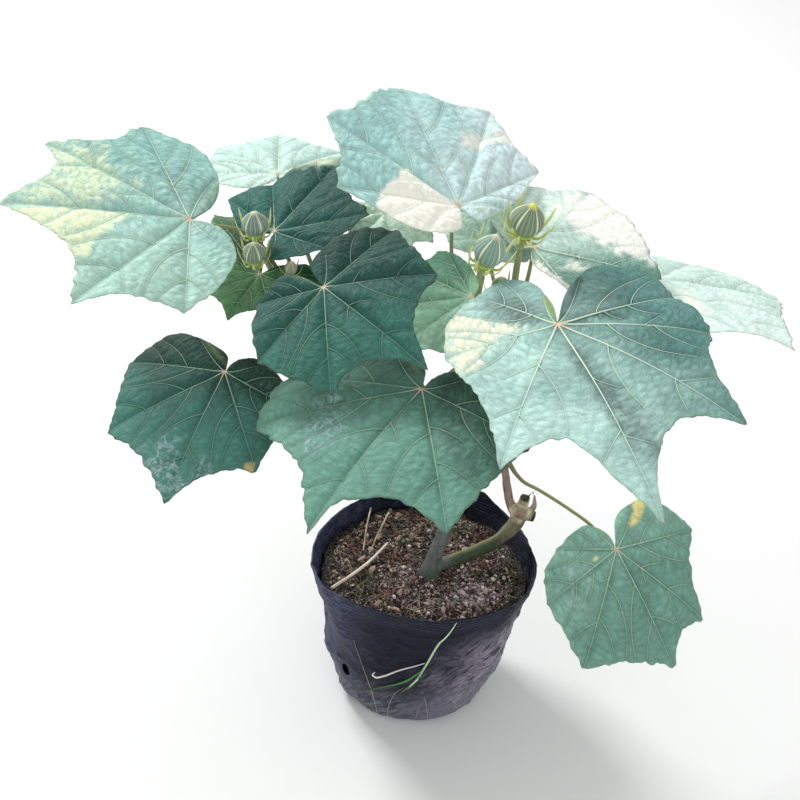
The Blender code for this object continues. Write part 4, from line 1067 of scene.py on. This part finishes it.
# Bark: each point moves along its normal by lumps plus fissures, noise drawn out along the stem
def makeWoodyStem():
    parts = []
    for shape in woodyStem:
        line = smoothSpans(shape["path"], 8)
        size = drawnOut(shape["radii"], len(line))
        parts.append(tubePart(line * mm, size * mm, 24))
    piece = addPiece("bark_stem", joinParts(parts), [barkSkin()], stands=("woody_stem",))
    remesh = piece.modifiers.new("fuse", "REMESH")
    remesh.mode = "VOXEL"
    remesh.voxel_size = woodLook["voxel"] * mm
    soften = piece.modifiers.new("soften", "SMOOTH")
    soften.iterations = woodLook["smoothing"]
    applyModifiers(piece)
    mesh = piece.data
    place, normal = meshField(mesh, "co") / mm, meshField(mesh, "normal")
    drawn = place * np.array([1, 1, 0.22])
    crack = ridge(drawn, 2.6, 31)
    move = woodLook["lump"] * noise(place, 11, 32, 2) - woodLook["fissure"] * crack**3
    x, z = place[:, 0], place[:, 2]

    def about(centre, reach, fade):  # 1 round a place, 0 beyond the fade
        return 1 - ease(np.linalg.norm(place - np.array(centre), axis=1), reach, fade)
    cut = np.max([about(centre, *woodLook["cutReach"]) for centre in woodLook["cuts"]], axis=0)
    dead = about(woodLook["dry"], 9, 16) * ease(x, 79, 82)
    knob = about(woodLook["knob"], 7, 12)
    young = ease(z, 160, 168) * ease(x, 54, 56) * (1 - ease(x, 71, 74))
    # painted highlight: the tops of the branch, facing up towards the key light
    upper = np.clip(normal @ unit(np.array([-0.5, 0.35, 0.8])), 0, 1) ** 5 * ease(x, 16, 24)
    moved = (place + normal * (move - 0.25 * cut)[:, None]) * mm
    mesh.vertices.foreach_set("co", moved.astype(np.float32).ravel())
    setFields(mesh, {"cut": cut, "dead": dead, "knob": knob, "young": young, "upper": upper, "crack": crack})
    mesh.polygons.foreach_set("use_smooth", np.full(len(mesh.polygons), True))
    mesh.update()


def barkSkin():  # grey trunk, mossy branch, a colour for each field of the stem, painted light and shade
    skin = Skin("bark", 0.8, 0.25)
    place = skin.place()
    streak = skin.grain(skin.stretch(place, (1, 1, 0.3)), 330, 5, 0.65)
    blot = skin.grain(place, 75, 4, 0.6)
    axes = skin.axes(place)
    branch = skin.step(axes[0], 0.016, 0.03)
    low = skin.step(axes[2], 0.2, 0.17)
    trunk = skin.mix(streak, (68, 76, 76), (132, 138, 134))
    moss = skin.mix(streak, (38, 52, 38), (90, 100, 78))
    skin.colour = skin.mix(skin.times(branch, low), trunk, moss)
    skin.over(skin.step(axes[0], 0.056, 0.072, 0.0, 0.8), skin.mix(streak, (92, 84, 68), (164, 152, 126)))
    # painted highlight in tan on those tops
    skin.over(skin.times(skin.field("upper"), 0.75), (158, 150, 112))
    swollen = skin.mix(skin.step(blot, 0.35, 0.6), (160, 138, 120), (240, 230, 200))
    skin.over(skin.field("young"), skin.mix(streak, (112, 92, 86), (190, 168, 156)))
    skin.over(skin.field("knob"), swollen)
    footGreen = skin.step(axes[2], 0.132, 0.118, 0.0, 0.7)
    skin.over(footGreen, (58, 76, 54))
    # painted shade in the fissures
    skin.over(skin.step(skin.field("crack"), 0.8, 1.0, 0.0, 0.4), (48, 46, 40))
    skin.over(skin.field("dead"), skin.mix(streak, (112, 100, 90), (214, 202, 192)))
    # the cut faces: their own dark wood, and painted shade that makes them read as holes
    skin.over(skin.field("cut"), skin.mix(skin.step(streak, 0.4, 0.65), (14, 20, 12), (70, 78, 50)))
    return skin.finish(skin.bump(streak, 0.5, 0.0008))


makeWoodyStem()
print("woody stem made")


# Grow bag

bag = {
    "height": 130, "mouth": 86, "base": 57, "footShare": 0.94, "footHeight": 12, "film": 0.9,
    "hemHeight": 11, "hemProud": 0.7, "columns": 330, "holeBearing": 222, "holeLevel": 42, "holeRadius": 5,
    # how far the rim stands from the axis, as (bearing, radius)
    "rim": ((11, 88), (34, 89), (59, 92), (73, 88), (100, 84), (131, 81), (156, 81), (187, 86), (217, 91),
            (238, 84), (258, 80), (271, 81), (290, 85), (308, 88), (322, 92), (336, 93), (348, 92)),
    "foldBearing": 59, "foldRise": 5, "foldWidth": 7, "noiseRadius": 70,
    "footLevels": (0.0, 0.6, 1.8, 3.6, 6, 9), "outerRows": 74, "hemRows": 14, "hemLine": 2.4,
    "dent": (192, 88, 26, 4.5),  # bearing, level, width, depth
}


def periodic(turn, pairs):  # a smooth ring through (bearing, value) pairs
    bearing = np.radians([p[0] for p in pairs])
    value = np.array([p[1] for p in pairs], float)
    dense = np.linspace(0, 2 * np.pi, 721)
    ring = np.interp(dense, bearing, value, period=2 * np.pi)
    kernel = np.exp(-(np.linspace(-2, 2, 41)) ** 2)
    wide = np.concatenate([ring[-21:-1], ring, ring[1:21]])
    ring = np.convolve(wide, kernel / kernel.sum(), "valid")
    return np.interp(np.mod(turn, 2 * np.pi), dense, ring)


# Radius of the film: a cone base + (mouth - base) share^0.72, drawn to the rim's outline near the
# top, with broad creases, fine crinkles and deep pleats towards the foot
def bagRadius(turn, level, fine=1.0):
    share = np.clip(level / bag["height"], 0, 1)
    cone = bag["base"] + (bag["mouth"] - bag["base"]) * share**0.72
    rim = (periodic(turn, bag["rim"]) - bag["mouth"]) * share**1.3
    broad = 1.3 * np.sin(5 * turn + 9 * share) + 0.9 * np.sin(9 * turn - 14 * share + 1)
    broad = broad * np.sin(np.pi * share) ** 0.5
    place = np.concatenate([circle(turn) * bag["noiseRadius"], level[..., None]], -1)
    creased = ridge(place * np.array([1, 1, 2.6]), 30, 51)
    slant = ridge(place * np.array([1, 1, 0.8]) + 40, 17, 52)
    pleat = ridge(place * np.array([1, 1, 0.5]), 12, 53)
    crinkle = noise(place * np.array([1, 1, 2.0]), 5, 54, 3)
    pleats = 2.6 * (1 - share) ** 2.5 * ease(share, 0.02, 0.12) * (pleat**3 - 0.4)
    folds = 1.3 * creased**4 + 0.8 * slant**5 + pleats + 0.22 * crinkle
    bearing, height, width, depth = bag["dent"]
    away = ((np.mod(np.degrees(turn), 360) - bearing) / width) ** 2 + ((level - height) / width) ** 2
    dent = depth * np.exp(-away)
    return cone + rim + broad + fine * folds - dent


# The bag: up the outside, over a folded hem and down the inside to its floor, as one closed sheet
def makeBag():
    turn = turnsRound(bag["columns"])
    hemFoot = bag["height"] - bag["hemHeight"]
    wallLevel = np.linspace(bag["footHeight"], hemFoot, bag["outerRows"])
    outerLevel = np.concatenate([bag["footLevels"], wallLevel])
    hemLevel = np.linspace(hemFoot + 0.5, bag["height"], bag["hemRows"])
    # fewer rows inside, where the soil hides them
    innerLevel = np.concatenate([np.linspace(bag["height"], 96, 22), np.linspace(88, bag["film"], 8)])
    rows = []
    around = circle(turn)
    rise = (1.6 * noise(around * bag["noiseRadius"], 30, 57, 2)
            + bag["foldRise"] * np.exp(-((np.degrees(turn) - bag["foldBearing"]) / bag["foldWidth"]) ** 2))

    def addRows(levels, push):
        for i, level in enumerate(levels):
            radius = bagRadius(turn, np.full_like(turn, level)) + push[i]
            climb = math.sin(0.5 * math.pi * min(level / bag["footHeight"], 1))
            foot = bag["footShare"] + (1 - bag["footShare"]) * climb
            height = level + rise * ease(level, 70, bag["height"])
            rows.append(np.concatenate([around * (radius * foot)[:, None], height[:, None]], -1))

    addRows(outerLevel, np.zeros(len(outerLevel)))
    lines = 0.22 * np.sin(2 * np.pi * hemLevel / bag["hemLine"])
    edge = bag["hemProud"] * (1 - ease(hemLevel, bag["height"] - 1.5, bag["height"] + 0.4))
    addRows(hemLevel, edge + lines)
    addRows(innerLevel, np.full(len(innerLevel), -bag["film"]))
    rings = np.array(rows)
    rings[:, :, 2] = np.maximum(rings[:, :, 2], 0)
    part = ringBody(rings * mm, (0, 0, 0), (0, 0, bag["film"] * mm))
    piece = addPiece("film_bag", part, [filmSkin()], stands=("grow_bag",))
    bearing = math.radians(bag["holeBearing"])
    centre = bagRadius(np.array([bearing]), np.array([float(bag["holeLevel"])]))[0]
    outward = np.array([math.cos(bearing), math.sin(bearing), 0])
    middle = outward * centre + np.array([0, 0, bag["holeLevel"]])
    route = np.linspace(middle - outward * 6, middle + outward * 8, 4) * mm
    cutter = addPiece("hole_cutter", tubePart(route, bag["holeRadius"] * mm, 28), [])
    hole = piece.modifiers.new("hole", "BOOLEAN")
    hole.operation = "DIFFERENCE"
    hole.solver = "MANIFOLD"
    hole.object = cutter
    applyModifiers(piece)
    bpy.data.objects.remove(cutter, do_unlink=True)


# Film: blue black, with dust and painted sheen on the lower right, dust on the left and the foot,
# rubbed creases, and hem lines with painted highlights
def filmSkin():
    skin = Skin("bag_film", 0.55, 0.22)
    place = skin.place()
    axes = skin.axes(place)
    x, z = axes[0], axes[2]
    wide = skin.grain(place, 26, 5, 0.65)
    scratch = skin.grain(skin.stretch(place, (1, 1, 2.6)), 170, 6, 0.7, 0.6)
    fine = skin.grain(skin.stretch(place, (1, 1, 5)), 620, 4, 0.7)
    turned = skin.add("Mapping", {"Vector": place, "Rotation": (0, 0.7, 0)})[0]
    slant = skin.grain(skin.stretch(turned, (1, 1, 4)), 70, 5, 0.7)
    skin.colour = skin.mix(wide, (3, 4, 12), (20, 24, 44))
    # dust: thick on the lower right, where it is also painted sheen, thin on the left and round the foot
    reach = skin.plus(x, skin.swing(wide, 0.08))
    reach = skin.minus(reach, skin.times(z, 0.25))
    # the lower right: dust, with painted sheen
    right = skin.times(skin.step(reach, -0.02, 0.052), skin.step(z, 0.12, 0.078))
    right = skin.times(right, skin.step(scratch, 0.32, 0.64, 0.2, 1.0))
    right = skin.times(right, skin.step(slant, 0.52, 0.6, 1.0, 0.1))
    skin.over(skin.times(right, 0.92), (176, 168, 184))
    left = skin.times(skin.step(x, -0.03, -0.07), skin.step(scratch, 0.38, 0.64, 0.05, 0.7))
    skin.over(left, (92, 98, 132))
    low = skin.times(skin.step(z, 0.058, 0.012), skin.step(slant, 0.36, 0.6, 0.2, 0.85))
    skin.over(low, (124, 124, 136))
    # rubbed creases, fine scratches, and painted highlights on the ridges of the hem's lines
    rubbed = skin.times(skin.step(slant, 0.6, 0.7), 0.3)
    skin.over(rubbed, (96, 100, 124))
    skin.over(skin.step(fine, 0.54, 0.74, 0.0, 0.5), (96, 104, 140))
    # painted highlight along each fine ridge of the hem
    wave = skin.calc("SINE", skin.times(z, 2600))
    lines = skin.times(skin.step(wave, 0.2, 1.0, 0.0, 0.42), skin.step(z, 0.112, 0.12))
    lines = skin.times(lines, skin.step(scratch, 0.4, 0.6, 0.2, 1.0))
    skin.over(lines, (104, 112, 142))
    ridges = skin.bump(slant, 0.7, 0.003, skin.bump(fine, 0.35, 0.0006))
    return skin.finish(skin.bump(scratch, 0.5, 0.0012, ridges), skin.step(scratch, 0.3, 0.7, 0.4, 0.7))


makeBag()
print("grow bag made")


# Potting soil

soil = {"level": 115, "rings": 76, "columns": 220, "inset": 1.4, "crumbs": 6400, "chips": 150, "fibres": 1700,
        "perlite": 14, "edgeLevel": 108.0, "bodyLevels": (3.0, 30.0, 60.0, 90.0), "lumpHeap": (44, -36),
        "fibreReach": 80,
        # each heap as (x, y, width, height): the trunk's foot, then the lumps
        "heaps": ((8, -10, 18, 3.0), (52, -30, 14, 2.6), (30, -48, 11, 2.0), (4, 22, 10, 2.2))}


# Soil level: gentle waves, a heap by the trunk's foot and a few lumps, lower towards the film
def soilHeight(x, y):
    waves = 1.3 * np.sin(0.075 * x + 0.5) * np.cos(0.06 * y) + 0.9 * np.sin(0.14 * x - 0.11 * y)
    heaps = sum(height * np.exp(-((x - left) ** 2 + (y - back) ** 2) / width**2)
                for left, back, width, height in soil["heaps"])
    return soil["level"] + waves + heaps - 5.0 * (np.hypot(x, y) / 84) ** 6


def soilSurface(x, y):  # the level with its clods and crumbs
    place = np.stack([x, y], -1)
    clod = np.abs(noise(place, 9, 61, 2))
    return soilHeight(x, y) + 2.6 * (clod - 0.35) + 1.1 * noise(place, 3.2, 62, 3)


# The soil: rings down inside the film, closed by rings that shrink evenly to the middle at its top
def makeSoil():
    turn = turnsRound(soil["columns"])
    around = circle(turn)
    edge = bagRadius(turn, np.full_like(turn, soil["edgeLevel"])) - soil["inset"]
    rings = []
    for level in soil["bodyLevels"]:
        radius = bagRadius(turn, np.full_like(turn, level)) - soil["inset"] - 1.5
        rings.append(np.concatenate([around * radius[:, None] * 0.97, np.full((len(turn), 1), level)], -1))
    for ring in range(soil["rings"]):
        flat = around * (edge * (1 - ring / soil["rings"]))[:, None]
        rings.append(np.concatenate([flat, soilSurface(flat[:, 0], flat[:, 1])[:, None]], -1))
    rings = np.array(rings)
    top = float(soilSurface(np.zeros(1), np.zeros(1))[0])
    part = ringBody(rings * mm, (0, 0, soil["bodyLevels"][0] * mm), (0, 0, top * mm))
    addPiece("soil_body", part, [soilSkin()], stands=("potting_soil",))


def soilSkin():  # dark crumbs, greenish areas and pale specks
    skin = Skin("soil", 0.92, 0.2)
    place = skin.place()
    broad = skin.grain(place, 45, 4, 0.6)
    crumb = skin.grain(place, 420, 5, 0.75)
    skin.colour = skin.mix(skin.step(crumb, 0.35, 0.68), (8, 6, 8), (96, 84, 82))
    skin.over(skin.step(broad, 0.45, 0.62, 0.0, 0.4), (66, 74, 54))
    skin.over(skin.step(skin.grain(place, 800, 2), 0.6, 0.68, 0.0, 0.7), (206, 190, 184))
    return skin.finish(skin.bump(crumb, 0.9, 0.002))


def randomTurns(rng, count):  # a random rotation matrix for each body, from random quaternions
    w, x, y, z = unit(rng.normal(size=(count, 4))).T
    return np.stack([1 - 2 * (y * y + z * z), 2 * (x * y - z * w), 2 * (x * z + y * w),
                     2 * (x * y + z * w), 1 - 2 * (x * x + z * z), 2 * (y * z - x * w),
                     2 * (x * z - y * w), 2 * (y * z + x * w), 1 - 2 * (x * x + y * y)], -1).reshape(-1, 3, 3)


def scatterPlaces(rng, count, inner=0.96):  # places spread evenly over the soil, as (x, y) in mm
    turn = rng.uniform(0, 2 * np.pi, count)
    edge = (bagRadius(turn, np.full(count, soil["edgeLevel"]), 0.0) - 5) * inner
    return circle(turn) * (edge * np.sqrt(rng.uniform(0, 1, count)))[:, None]


# Crumbs: twelve-cornered grains, each corner pushed in or out at random, scaled, turned and sunk
def grainsPart(places, sizes, rng, shade, lift=0.25):
    golden = (1 + 5**0.5) / 2
    corner = unit(np.array([
        (-1, golden, 0), (1, golden, 0), (-1, -golden, 0), (1, -golden, 0), (0, -1, golden),
        (0, 1, golden), (0, -1, -golden), (0, 1, -golden), (golden, 0, -1), (golden, 0, 1),
        (-golden, 0, -1), (-golden, 0, 1)]))
    face = np.array([
        (0, 11, 5), (0, 5, 1), (0, 1, 7), (0, 7, 10), (0, 10, 11), (1, 5, 9), (5, 11, 4), (11, 10, 2),
        (10, 7, 6), (7, 1, 8), (3, 9, 4), (3, 4, 2), (3, 2, 6), (3, 6, 8), (3, 8, 9), (4, 9, 5), (2, 4, 11),
        (6, 2, 10), (8, 6, 7), (9, 8, 1)])
    count = len(places)
    body = corner * (1 + 0.28 * rng.uniform(-1, 1, (count, 12, 1)))
    body = np.einsum("nij,nkj->nki", randomTurns(rng, count), body * sizes[:, None])
    low = body[..., 2].min(1)
    level = soilSurface(places[:, 0], places[:, 1]) - low - (1 - lift) * sizes.mean(1)
    centre = np.concatenate([places, level[:, None]], -1)
    points = (body + centre[:, None]).reshape(-1, 3) * mm
    faces = (face[None] + 12 * np.arange(count)[:, None, None]).reshape(-1, 3)
    return {"points": points, "faces": [faces], "values": {"shade": np.repeat(shade, 12)}}


# Fibres: three-sided strands that start on the soil, run off at a random heading, bow sideways and
# lift a little, all worked out together as fibre x station x side
def fibresPart(places, length, radius, rng, shade, rise=1.0):
    count, stations = len(places), 6
    t = np.linspace(0, 1, stations)
    heading, bow = rng.uniform(0, 2 * np.pi, count), rng.uniform(-0.35, 0.35, count)
    ahead = circle(heading)[:, None]
    aside = np.stack([-np.sin(heading), np.cos(heading)], -1)[:, None]
    run = (length[:, None] * (t - 0.5))[..., None]
    bend = (length * bow)[:, None, None] * np.sin(np.pi * t)[None, :, None]
    flat = places[:, None] + ahead * run + aside * bend
    reach = np.maximum(np.linalg.norm(flat, axis=-1, keepdims=True), 1e-6)
    flat = flat * np.minimum(1, soil["fibreReach"] / reach)
    lift = rise * rng.uniform(0.1, 1.6, (count, 1)) * np.sin(np.pi * t)[None] + 0.2
    level = soilSurface(flat[..., 0], flat[..., 1])
    level = 0.5 * level + 0.5 * level.max(1, keepdims=True) + lift * 0.6
    line = np.concatenate([flat, level[..., None]], -1)
    size = radius[:, None] * (1 - 0.6 * np.abs(2 * t - 1) ** 3)[None]
    turn = np.array([0, 2, 4]) * np.pi / 3
    side3 = np.concatenate([aside, np.zeros((count, 1, 1))], -1)
    ring = side3[:, :, None] * np.cos(turn)[:, None] + np.array([0, 0, 1.0]) * np.sin(turn)[:, None]
    body = line[:, :, None] + size[..., None, None] * ring
    points = np.concatenate([body.reshape(count, -1, 3), line[:, :1], line[:, -1:]], 1)
    quads, fans = ringFaces(stations, 3)
    step = ((stations * 3 + 2) * np.arange(count))[:, None, None]
    faces = [(quads[:, ::-1] + step).reshape(-1, 4), (fans[:, ::-1] + step).reshape(-1, 3)]
    return {"points": points.reshape(-1, 3) * mm, "faces": faces,
            "values": {"shade": np.repeat(shade, stations * 3 + 2)}}


# Dark to light by the body's own shade; with hues, green or reddish by zones
def gritSkin(name, dark, light, rough=0.9, bumpy=0.5, hues=False):
    skin = Skin(name, rough, 0.2)
    spots = skin.grain(skin.place(), 900, 3)
    share = skin.step(skin.plus(skin.field("shade"), skin.times(spots, 0.5)), 0.2, 1.3)
    pale = light
    if hues:
        zone = skin.grain(skin.place(), 34, 3, 0.6)
        pale = skin.mix(skin.step(zone, 0.52, 0.6, 0.0, 0.7), pale, (150, 152, 104))
        pale = skin.mix(skin.step(zone, 0.48, 0.4, 0.0, 0.7), pale, (196, 122, 98))
    skin.colour = skin.mix(share, dark, pale)
    return skin.finish(skin.bump(spots, bumpy, 0.0006))


# Loose bits: sizes of crumbs and lumps spread log-normally and the rest evenly; all draws come from
# one generator, so their order matters
def makeSoilBits():
    rng = np.random.default_rng(77)

    def addGrains(name, places, sizes, shade, skin, lift=0.25):
        addPiece(name, grainsPart(places, sizes, rng, shade, lift), [skin], smooth=False)
    crumbs, chips, perlite, fibres = (soil[key] for key in ("crumbs", "chips", "perlite", "fibres"))
    places = scatterPlaces(rng, crumbs)
    sizes = rng.lognormal(-0.62, 0.52, (crumbs, 1)) * rng.uniform(0.65, 1.1, (crumbs, 3))
    addGrains("soil_crumbs", places, np.clip(sizes, 0.3, 3.2), rng.uniform(0, 1, crumbs) ** 2.4,
              gritSkin("crumb", (10, 8, 10), (236, 214, 206), hues=True))
    places = rng.normal(soil["lumpHeap"], (14, 11), (900, 2))
    places = places[np.hypot(places[:, 0], places[:, 1]) < 72]
    lumps = len(places)
    sizes = rng.lognormal(-0.1, 0.4, (lumps, 1)) * rng.uniform(0.7, 1.1, (lumps, 3))
    addGrains("soil_lumps", places, sizes, rng.uniform(0, 1, lumps) ** 1.3,
              gritSkin("lump", (86, 70, 76), (224, 202, 206)), 0.6)
    places = scatterPlaces(rng, chips)
    addGrains("bark_chips", places, rng.uniform(1.6, 4.6, (chips, 1)) * np.array([1.0, 0.55, 0.24]),
              rng.uniform(0, 1, chips), gritSkin("chip", (52, 36, 34), (196, 164, 150)), 0.5)
    places = scatterPlaces(rng, perlite)
    sizes = rng.uniform(0.8, 1.7, (perlite, 1)) * np.ones(3)
    addGrains("perlite", places, sizes, rng.uniform(0.6, 1, perlite),
              gritSkin("perlite_grain", (160, 160, 166), (226, 226, 230)), 0.7)
    places = scatterPlaces(rng, fibres, 0.93)
    length, radius = rng.uniform(3, 15, fibres), rng.uniform(0.1, 0.24, fibres)
    addPiece("coir_fibres", fibresPart(places, length, radius, rng, rng.uniform(0, 1, fibres) ** 1.8, 1.2),
             [gritSkin("fibre", (30, 22, 22), (232, 206, 188), hues=True)])


makeSoil()
makeSoilBits()
print("soil made")


# Dry stalks on the soil, and the weed, straw and roots on the side of the bag

dryStalks = {
    "pale_straw": dict(path=((-68, -35, 0.5), (-56, -26, 2.0), (-42, -8, 3.0), (-27, 24, 0.5)), radius=1.5,
                       light=(255, 240, 230), dark=(222, 198, 186)),
    "dry_stalk_left": dict(path=((-43, 62, 9.0), (-45, 38, 4.0), (-46, 13, 0.4)), radius=0.85,
                           light=(206, 196, 172), dark=(128, 120, 98)),
    "dry_stalk_middle": dict(path=((-28, 54, 8.0), (-35, 33, 4.0), (-41, 11, 0.3)), radius=0.85,
                             light=(214, 204, 176), dark=(120, 116, 84)),
}
# Each piece on the bag's side: sides and flatness of its strands, its dark and light colours, its
# roughness, slot and strands, as (bearing, level, lift) stations with the widths along them
bagSide = {
    "grass_blades": (10, 0.4, ((214, 232, 204), (84, 148, 72)), 0.5, "grass_green", (
        (((290, 129, 1.6), (287, 118, 1.4), (283.5, 106, 0.9), (277.5, 78, 0.8), (274, 63.5, 0.8),
          (269.5, 54, 0.9), (263.5, 43, 1.6)), (0.3, 0.6, 0.95, 1.0, 0.85, 0.55, 0.12)),
        (((274, 62, 0.9), (270, 54, 1.3), (268, 50, 2.2)), (0.6, 0.6, 0.12)))),
    "grass_leaf": (10, 0.3, ((84, 134, 78), (36, 66, 46)), 0.6, "grass_green", (
        (((275.3, 70, 0.8), (266, 57, 0.9), (254.5, 46.5, 0.9), (240, 33, 0.8), (232, 25.5, 0.9)),
         (0.5, 1.2, 1.1, 0.7, 0.12)),)),
    "straw_on_bag": (8, 0.9, ((216, 204, 204), (250, 236, 236)), 0.7, "straw", (
        (((277, 80, 1.3), (262.5, 71, 1.4), (252, 60, 1.6), (248.5, 57.5, 2.2), (247, 60, 3.0),
          (248.5, 65, 3.2)), (0.45, 0.65, 0.8, 0.85, 0.55, 0.3)),)),
    "fine_roots": (6, 1.0, ((120, 118, 122), (190, 186, 184)), 0.7, "straw", (
        (((232, 101, 0.3), (236, 76, 0.3), (240, 52, 0.3), (244, 28, 0.3), (248, 5, 0.4)),
         (0.2, 0.24, 0.26, 0.24, 0.14)),
        (((275, 55, 0.5), (280.5, 34.5, 0.4), (284.5, 9.5, 0.4)), (0.22, 0.24, 0.1)),
        (((280, 36, 0.5), (277, 22, 0.4), (276, 10, 0.4)), (0.2, 0.18, 0.1)),
        (((266, 50, 0.4), (261.5, 42.5, 0.4), (256.5, 24.5, 0.4), (254.5, 5, 0.4)), (0.16, 0.22, 0.24, 0.1)),
        (((260, 40, 0.4), (254, 33, 0.4), (250, 27, 0.4)), (0.16, 0.16, 0.08)))),
}
bagSideStands = {"grass_blades": ("grass_sprig",)}


# A dry stalk: its path rises with the soil, and its radius falls by a quarter to the far end
def makeDryStalk(name, stalk):
    path = np.array(stalk["path"], float)
    ground = soilHeight(path[:, 0], path[:, 1])
    path[:, 2] += ground + stalk["radius"]
    line = smoothSpans(path, 14)
    share = np.linspace(0, 1, len(line))
    size = stalk["radius"] * (1 - 0.25 * share) * (1 + 0.06 * noise(line, 5, 71, 2))
    part = tubePart(line * mm, size * mm, 14, flatten=0.8, values={"shade": 0.6 + 0.4 * noise(line, 9, 72)})
    skin = gritSkin(name + "_skin", stalk["dark"], stalk["light"], 0.7, 0.3)
    addPiece("dry_" + name.replace("dry_", ""), part, [skin], stands=(name,))


# A strand on the film: at each station it lies its lift off the bag's surface, whose creases are
# evened out by the mean of the stations round it
def bagStrand(route, widths, sides, flatten):
    smooth = smoothSpans(route, 12)
    turn = np.radians(smooth[:, 0])
    wave = np.pad(bagRadius(turn, smooth[:, 1]), 12, mode="edge")
    reach = np.convolve(wave, np.ones(25) / 25, "valid") + smooth[:, 2] + 0.5
    line = np.concatenate([reach[:, None] * circle(turn), smooth[:, 1:2]], -1)
    width = drawnOut(widths, len(line))
    guide = np.cross([*circle(turn[0]), 0], line[-1] - line[0])
    share = np.linspace(0, 1, len(line))
    return tubePart(line * mm, width * mm, sides, flatten=flatten, guide=guide, values={"shade": share})


def makeBagSide():
    for name, (sides, flatten, colours, rough, slot, strands) in bagSide.items():
        part = joinParts([bagStrand(route, widths, sides, flatten) for route, widths in strands])
        skin = gritSkin(name + "_skin", *colours, rough, 0.2)
        addPiece(name, part, [skin], stands=bagSideStands.get(name, ()))


for stalkName, stalkShape in dryStalks.items():
    makeDryStalk(stalkName, stalkShape)
makeBagSide()
print("stalks, grass and roots made")


# Camera, floor and light

view = {"elevation": 33.5, "roll": 4.5, "distance": 1350, "lens": 81, "target": (-26, 0, 272)}
light = {  # powers in watts, places and sizes in metres
    "sky": 0.64, "key": 52, "keyAt": (-1.3, 1.5, 1.9), "keySize": 0.8, "aimHeight": 0.3,
    "fill": 18, "fillAt": (0.5, -2.4, 1.7), "fillSize": 2.0, "floor": (240, 240, 240), "floorHalf": 6.0,
}


def makeCamera():  # looks down by "elevation", tilted by "roll", from "distance" away from its target
    rise, roll = math.radians(view["elevation"]), math.radians(view["roll"])
    look = np.array([0, math.cos(rise), -math.sin(rise)])
    level = np.array([1.0, 0, 0])
    up = np.cross(level, look)
    right = level * math.cos(roll) + up * math.sin(roll)
    top = up * math.cos(roll) - level * math.sin(roll)
    place = (np.array(view["target"]) - look * view["distance"]) * mm
    camera = putIn("camera", bpy.data.cameras.new("camera"))
    camera.data.lens = view["lens"]
    camera.data.sensor_width = 36
    rows = np.stack([right, top, -look, place], -1).tolist()
    camera.matrix_world = Matrix([*rows, (0, 0, 0, 1)])
    bpy.context.scene.camera = camera


def makeFloor():
    wide = light["floorHalf"]
    mesh = bpy.data.meshes.new("floor")
    corners = [(-wide, -wide, 0), (wide, -wide, 0), (wide, wide, 0), (-wide, wide, 0)]
    mesh.from_pydata(corners, [], [(0, 1, 2, 3)])
    skin = Skin("floor", 0.9, 0.1)
    skin.inputs["Base Color"].default_value = tint(*light["floor"])
    mesh.materials.append(skin.made)
    putIn("floor", mesh)


def addArea(name, place, size, power):  # a square lamp aimed at the plant
    lamp = bpy.data.lights.new(name, "AREA")
    lamp.size = size
    lamp.energy = power
    holder = putIn(name, lamp)
    aim = Vector((0, 0, light["aimHeight"])) - Vector(place)
    holder.location = place
    holder.rotation_euler = aim.to_track_quat("-Z", "Y").to_euler()


def makeLight():
    world = bpy.data.worlds.new("sky")
    world.use_nodes = True
    sky = world.node_tree.nodes["Background"]
    sky.inputs["Color"].default_value = (1, 1, 1, 1)
    sky.inputs["Strength"].default_value = light["sky"]
    bpy.context.scene.world = world
    addArea("key", light["keyAt"], light["keySize"], light["key"])
    addArea("fill", light["fillAt"], light["fillSize"], light["fill"])
    bpy.context.scene.view_settings.view_transform = "Standard"


makeCamera()
makeFloor()
makeLight()
print("camera, floor and light set")
